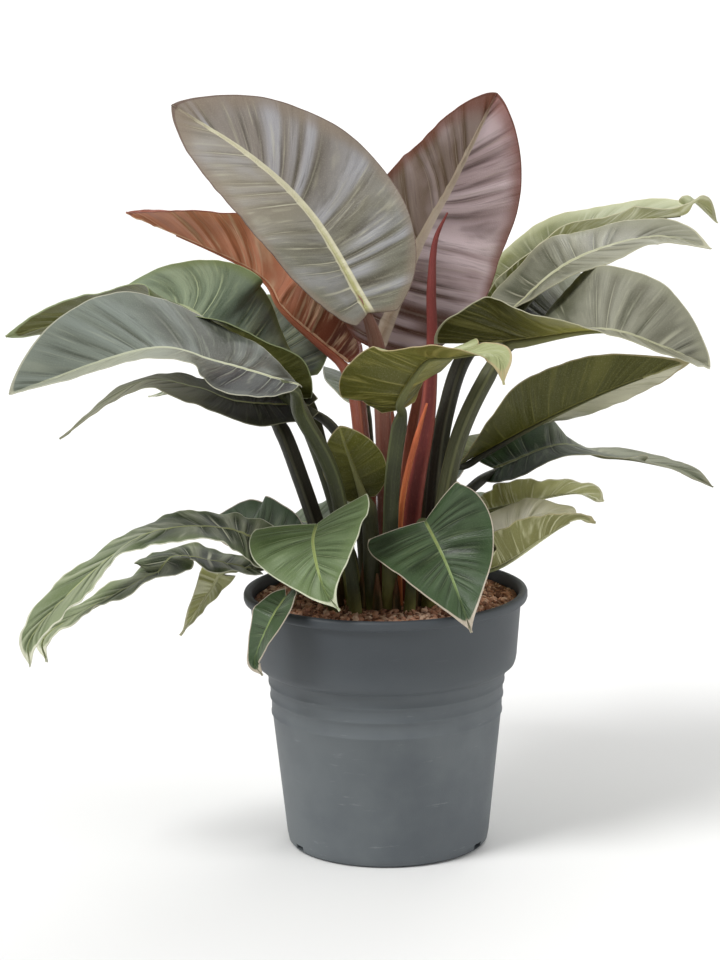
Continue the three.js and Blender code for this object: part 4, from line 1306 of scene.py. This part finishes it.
@dataclass
class OldSheaths:
    """The short dry stubs of old stalks, left round the foot of the plant."""

    count: int = 15
    ring: float = 43.0
    lowest: float = 222.0
    tallest: float = 262.0
    girth: float = 4.2
    seed: int = 12

    def build(self) -> None:
        """Makes the stubs as one piece."""
        rng = random.Random(self.seed)
        bm = start_mesh("around", "along")
        for i in range(self.count):
            angle = math.tau * (i + rng.uniform(-0.3, 0.3)) / self.count
            reach = self.ring * rng.uniform(0.75, 1.1)
            rise = rng.uniform(self.lowest, self.tallest) - SOCKET_FLOOR
            girth = self.girth * rng.uniform(0.6, 1.1)
            lean = rng.uniform(-0.12, 0.3)
            out = Vector((math.cos(angle), math.sin(angle), 0))
            foot = out * reach + Vector((0, 0, SOCKET_FLOOR))
            path = [foot + (out * lean * share + Vector((0, 0, share))) * rise
                    for share in (0.0, 0.35, 0.7, 1.0)]
            radii = [girth, girth * 1.1, girth * 0.8, girth * 0.25]
            Rod([p * MM for p in path], [r * MM for r in radii], sides=10, rings=12,
                channel=0.5, upward=out).add_to(bm)
        place_piece("old_sheaths", bm, (StalkTone.WITHERED.value,), "sheath_dry")


@dataclass
class NurseryPot:
    """A grower's pot: rolled lip, wide collar, step, tapered body and drain slots."""

    rim: float
    height: float
    collar: float = 114.3
    collar_foot: float = 110.5
    collar_height: float = 62.0
    body: float = 102.0
    foot: float = 86.0
    wall: float = 2.4
    floor: float = 3.0
    lip: float = 8.0
    slot_height: float = 4.0
    slot_width: float = 14.0
    slot_angles: tuple[float, ...] = (28, 152, 208, 332)
    steps: int = 180

    def outline(self) -> list[Pair]:
        """Gives the pot's closed section as radius and height, in millimetres.

        Returns:
            Its points, from the middle of the underside outwards, up and back inside.
        """
        step = self.height - self.collar_height
        under_lip = self.height - self.lip
        foot, body, rim, top = self.foot, self.body, self.rim, self.height
        outer = [
            (foot - 7, 0), (foot - 4.2, 0.5), (foot - 2.2, 1.8), (foot - 1.2, self.floor),
            (foot - 0.4, self.floor + self.slot_height), (foot + 0.2, 10),
            (body - 4.9, step - 44.4), (body - 3.9, step - 43.4), (body - 3.8, step - 42.2),
            (body - 4.3, step - 41.4), (body - 4.1, step - 30.4), (body - 2.9, step - 29.4),
            (body - 2.8, step - 28), (body - 3.4, step - 27.2), (body - 3.1, step - 18.4),
            (body - 1.8, step - 17.2), (body - 1.6, step - 15.8), (body - 2.2, step - 15),
            (body - 0.2, step - 5.5), (body + 1.2, step - 4.2), (body + 4.2, step - 3),
            (body + 6.8, step - 0.8), (self.collar_foot - 0.6, step + 2.2),
            (self.collar_foot, step + 5.5), (self.collar, under_lip - 3),
            (self.collar + 0.8, under_lip - 1.2), (rim - 1.8, under_lip - 0.4),
            (rim - 0.5, under_lip + 0.6), (rim, under_lip + 2.2), (rim, top - 2.6),
            (rim - 0.7, top - 0.8), (rim - 2.2, top), (rim - 4.6, top), (rim - 6.3, top - 0.8),
            (rim - 7, top - 2.6),
        ]
        inner = [
            (self.collar - self.wall, under_lip - 3),
            (self.collar_foot - 2 - self.wall, step + 8),
            (body - 4.5 - self.wall, step - 20),
            (foot - 7 - self.wall, self.floor + self.slot_height),
            (foot - 7 - self.wall, self.floor),
        ]
        return [(0, 0), *outer, *inner, (0, self.floor)]

    def build(self) -> None:
        """Spins the section, cuts the drain slots and puts the pot in place."""
        bm = bmesh.new()
        verts = [bm.verts.new((r * MM, 0, z * MM)) for r, z in self.outline()]
        edges = [bm.edges.new(pair) for pair in zip(verts, verts[1:])]
        bmesh.ops.spin(bm, geom=verts + edges, cent=(0, 0, 0), axis=(0, 0, 1),
                       angle=math.tau, steps=self.steps, use_merge=True)
        bmesh.ops.remove_doubles(bm, verts=bm.verts, dist=0.02 * MM)
        self.cut_slots(bm)
        bmesh.ops.recalc_face_normals(bm, faces=bm.faces)
        soften(list(bm.faces), sharp=0.9)
        place_piece("nursery_pot", bm, (PlasticFinish(),), "pot_plastic", "pot")

    def cut_slots(self, bm: bmesh.types.BMesh) -> None:
        """Opens the drain slots through the wall, and joins its two faces round each.

        Args:
            bm: The pot's mesh.
        """
        low, high = self.floor * MM, (self.floor + self.slot_height) * MM
        spread = self.slot_width / 2 / self.foot
        for degrees in self.slot_angles:
            towards = Vector((math.cos(math.radians(degrees)), math.sin(math.radians(degrees))))
            middles = {face: face.calc_center_median() for face in bm.faces}
            doomed = [face for face, middle in middles.items()
                      if middle.xy.angle(towards, math.pi) < spread and low < middle.z < high]
            bmesh.ops.delete(bm, geom=doomed, context="FACES")
            rim = [edge for edge in bm.edges if edge.is_boundary]
            bmesh.ops.bridge_loops(bm, edges=rim)


@dataclass
class BarkBed:
    """The bark mix: a rough bed in the pot and the crumbs that lie on it."""

    radius: float
    top: float
    depth: float = 30.0
    circles: int = 34
    crumbs: int = 2600
    lengths: tuple[float, ...] = (2.2, 2.8, 3.6, 4.6, 6.0, 8.0)
    seed: int = 7

    def height_at(self, x: float, y: float) -> float:
        """Gives the bed's height at a place, in millimetres.

        Args:
            x: How far right of the middle it is.
            y: How far behind the middle it is.

        Returns:
            The height.
        """
        spot = Vector((x, y, 0))
        rise = 1.2 * math.sin(x * 0.21 + 1) * math.cos(y * 0.17)
        return self.top + rise * 0.7 + 1.2 * noise.noise(spot / 9) + 0.9 * noise.noise(spot / 3)

    def build(self) -> None:
        """Makes the bed and its crumbs and puts them in place."""
        place_piece("bark_bed", self.make_bed(), (BarkFinish("bark_bed_mix"),), "bark_mix", "soil")
        place_piece("bark_crumbs", self.make_crumbs(), (BarkFinish("bark_crumb_mix"),), "bark_mix")

    def make_bed(self) -> bmesh.types.BMesh:
        """Makes the body of the soil with a rough top.

        Returns:
            Its mesh, with a tone at each point.
        """
        bm = start_mesh("tone")
        tone = bm.verts.layers.float["tone"]
        bmesh.ops.create_cone(bm, cap_ends=True, cap_tris=False, segments=120,
                              radius1=self.radius - 2.0, radius2=self.radius,
                              depth=self.depth)
        top = max(bm.faces, key=lambda face: face.calc_center_median().z)
        for _ in range(self.circles):
            bmesh.ops.inset_region(bm, faces=[top], thickness=self.radius / (self.circles + 2))
        for vert in bm.verts:
            on_top = vert.co.z > 0
            vert.co.z = self.height_at(vert.co.x, vert.co.y) if on_top else self.top - self.depth
            vert[tone] = 0.12 + 0.2 * noise.noise(vert.co / 4)
            vert.co *= MM
        soften(list(bm.faces))
        return bm

    def make_crumbs(self) -> bmesh.types.BMesh:
        """Scatters crumbs over the bed, clear of the stalks.

        Returns:
            Their mesh, with a tone for each crumb.
        """
        rng = random.Random(self.seed)
        feet = [(leaf.foot, leaf.girth.value[1]) for leaf in LEAVES]
        feet += [(spike.foot, spike.girth[0]) for spike in SPIKES]
        bm = start_mesh("tone")
        tone = bm.verts.layers.float["tone"]
        golden = math.pi * (3 - math.sqrt(5))
        for i in range(self.crumbs):
            reach = (self.radius - 3) * math.sqrt((i + 0.5) / self.crumbs)
            x = reach * math.cos(i * golden) + rng.uniform(-2, 2)
            y = reach * math.sin(i * golden) + rng.uniform(-2, 2)
            length = rng.choice(self.lengths)
            size = Vector((length, length * rng.uniform(0.45, 0.8),
                           length * rng.uniform(0.3, 0.55)))
            turn = (rng.uniform(-0.7, 0.7), rng.uniform(-0.7, 0.7), rng.uniform(0, math.tau))
            shade = rng.random()
            if any(math.dist((x, y), foot) < r + length / 2 for foot, r in feet):
                continue
            if math.hypot(x, y) + length / 2 > self.radius:
                continue
            place = Vector((x, y, self.height_at(x, y) + size.z * 0.25))
            made = bmesh.ops.create_icosphere(bm, subdivisions=1, radius=0.5)["verts"]
            spin = Matrix.Rotation(turn[2], 4, "Z") @ Matrix.Rotation(turn[1], 4, "Y")
            spin = spin @ Matrix.Rotation(turn[0], 4, "X") @ Matrix.Diagonal((*size, 1.0))
            for vert in made:
                bumpy = 1 + 0.35 * noise.noise(vert.co * 3 + Vector((i, 0, 0)))
                vert.co = (place + spin @ (vert.co * bumpy)) * MM
                vert[tone] = shade
        return bm


@dataclass(frozen=True)
class Softbox:
    """A distant soft lamp: where it shines from, how wide it looks and how bright it is."""

    name: str
    place: Point
    spread: float
    power: float


@dataclass
class Studio:
    """The plain studio: floor, soft lamps and the camera at the photo's angle.

    focal and tall are the camera's focal length and the picture's height, in pixels. The
    room is as bright as room_front behind the camera, and as room round the plant.
    """

    eye: Point = (-0.0204, -2.7, 0.863)
    pitch: float = 11.5
    roll: float = 0.72
    focal: float = 3282.0
    tall: float = 960.0
    room: float = 0.75
    room_front: float = 0.12
    lamps: tuple[Softbox, ...] = (
        Softbox("key_softbox", (-1.6, -1.2, 2.2), 24.0, 2.1),
        Softbox("fill_softbox", (2.2, -1.2, 1.0), 36.0, 0.45),
        Softbox("back_softbox", (0.6, 1.8, 1.8), 30.0, 0.7),
    )

    def build(self) -> None:
        """Sets up the whole studio."""
        self.add_floor()
        self.add_room()
        for lamp in self.lamps:
            self.add_lamp(lamp)
        self.add_camera()

    def add_floor(self) -> None:
        """Lays a plain pale floor."""
        bm = bmesh.new()
        bmesh.ops.create_circle(bm, cap_ends=True, segments=96, radius=40.0)
        r = Recipe(bpy.data.materials.new("pale_floor"))
        haze = r.noise(r.position(), 1.5, 2.0)
        material = r.dress(r.mix(haze, "#e9e9e8", "#ededec"), 0.85, 0.2)
        to_object("floor", bm, material)

    def add_room(self) -> None:
        """Lights the plant from a pale room that is dimmer in front."""
        world = bpy.data.worlds.new("pale_room")
        r = Recipe(world, "Background")
        towards = r.node("TexCoord").outputs["Generated"]
        back = r.node("SeparateXYZ", {"Vector": towards}).outputs["Y"]
        fade = r.step(back, -0.95, -0.35, self.room_front, self.room)
        r.feed(r.shader.inputs["Color"], "#ffffff")
        r.feed(r.shader.inputs["Strength"], fade)
        bpy.context.scene.world = world

    def add_lamp(self, lamp: Softbox) -> None:
        """Hangs a soft lamp.

        Args:
            lamp: The lamp.
        """
        data = bpy.data.lights.new(lamp.name, "SUN")
        data.angle = math.radians(lamp.spread)
        data.energy = lamp.power
        hung = add_to_scene(lamp.name, data)
        hung.location = lamp.place
        hung.rotation_mode = "QUATERNION"
        hung.rotation_quaternion = Vector(lamp.place).to_track_quat("Z", "Y")

    def add_camera(self) -> None:
        """Stands the camera where the photo was taken from."""
        data = bpy.data.cameras.new("photo_camera")
        data.sensor_width = 36.0
        data.lens = self.focal / self.tall * data.sensor_width
        data.clip_end = 50.0
        camera = add_to_scene("photo_camera", data)
        camera.location = self.eye
        tilt = Matrix.Rotation(math.radians(90 - self.pitch), 4, "X")
        turn = Matrix.Rotation(math.radians(-self.roll), 4, "Z")
        camera.rotation_euler = (tilt @ turn).to_euler()
        bpy.context.scene.camera = camera
        bpy.context.scene.view_settings.view_transform = "Standard"


def main() -> None:
    """Builds the plant, its pot and the studio round them."""
    logging.basicConfig(level=logging.INFO, format="%(message)s")
    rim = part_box("pot")[1]
    for part in (*LEAVES, *SPIKES, OldSheaths(),
                 NurseryPot(rim=rim.x / MM, height=rim.z / MM),
                 BarkBed(radius=111.5, top=211.0), Studio()):
        part.build()


if __name__ == "__main__":
    main()
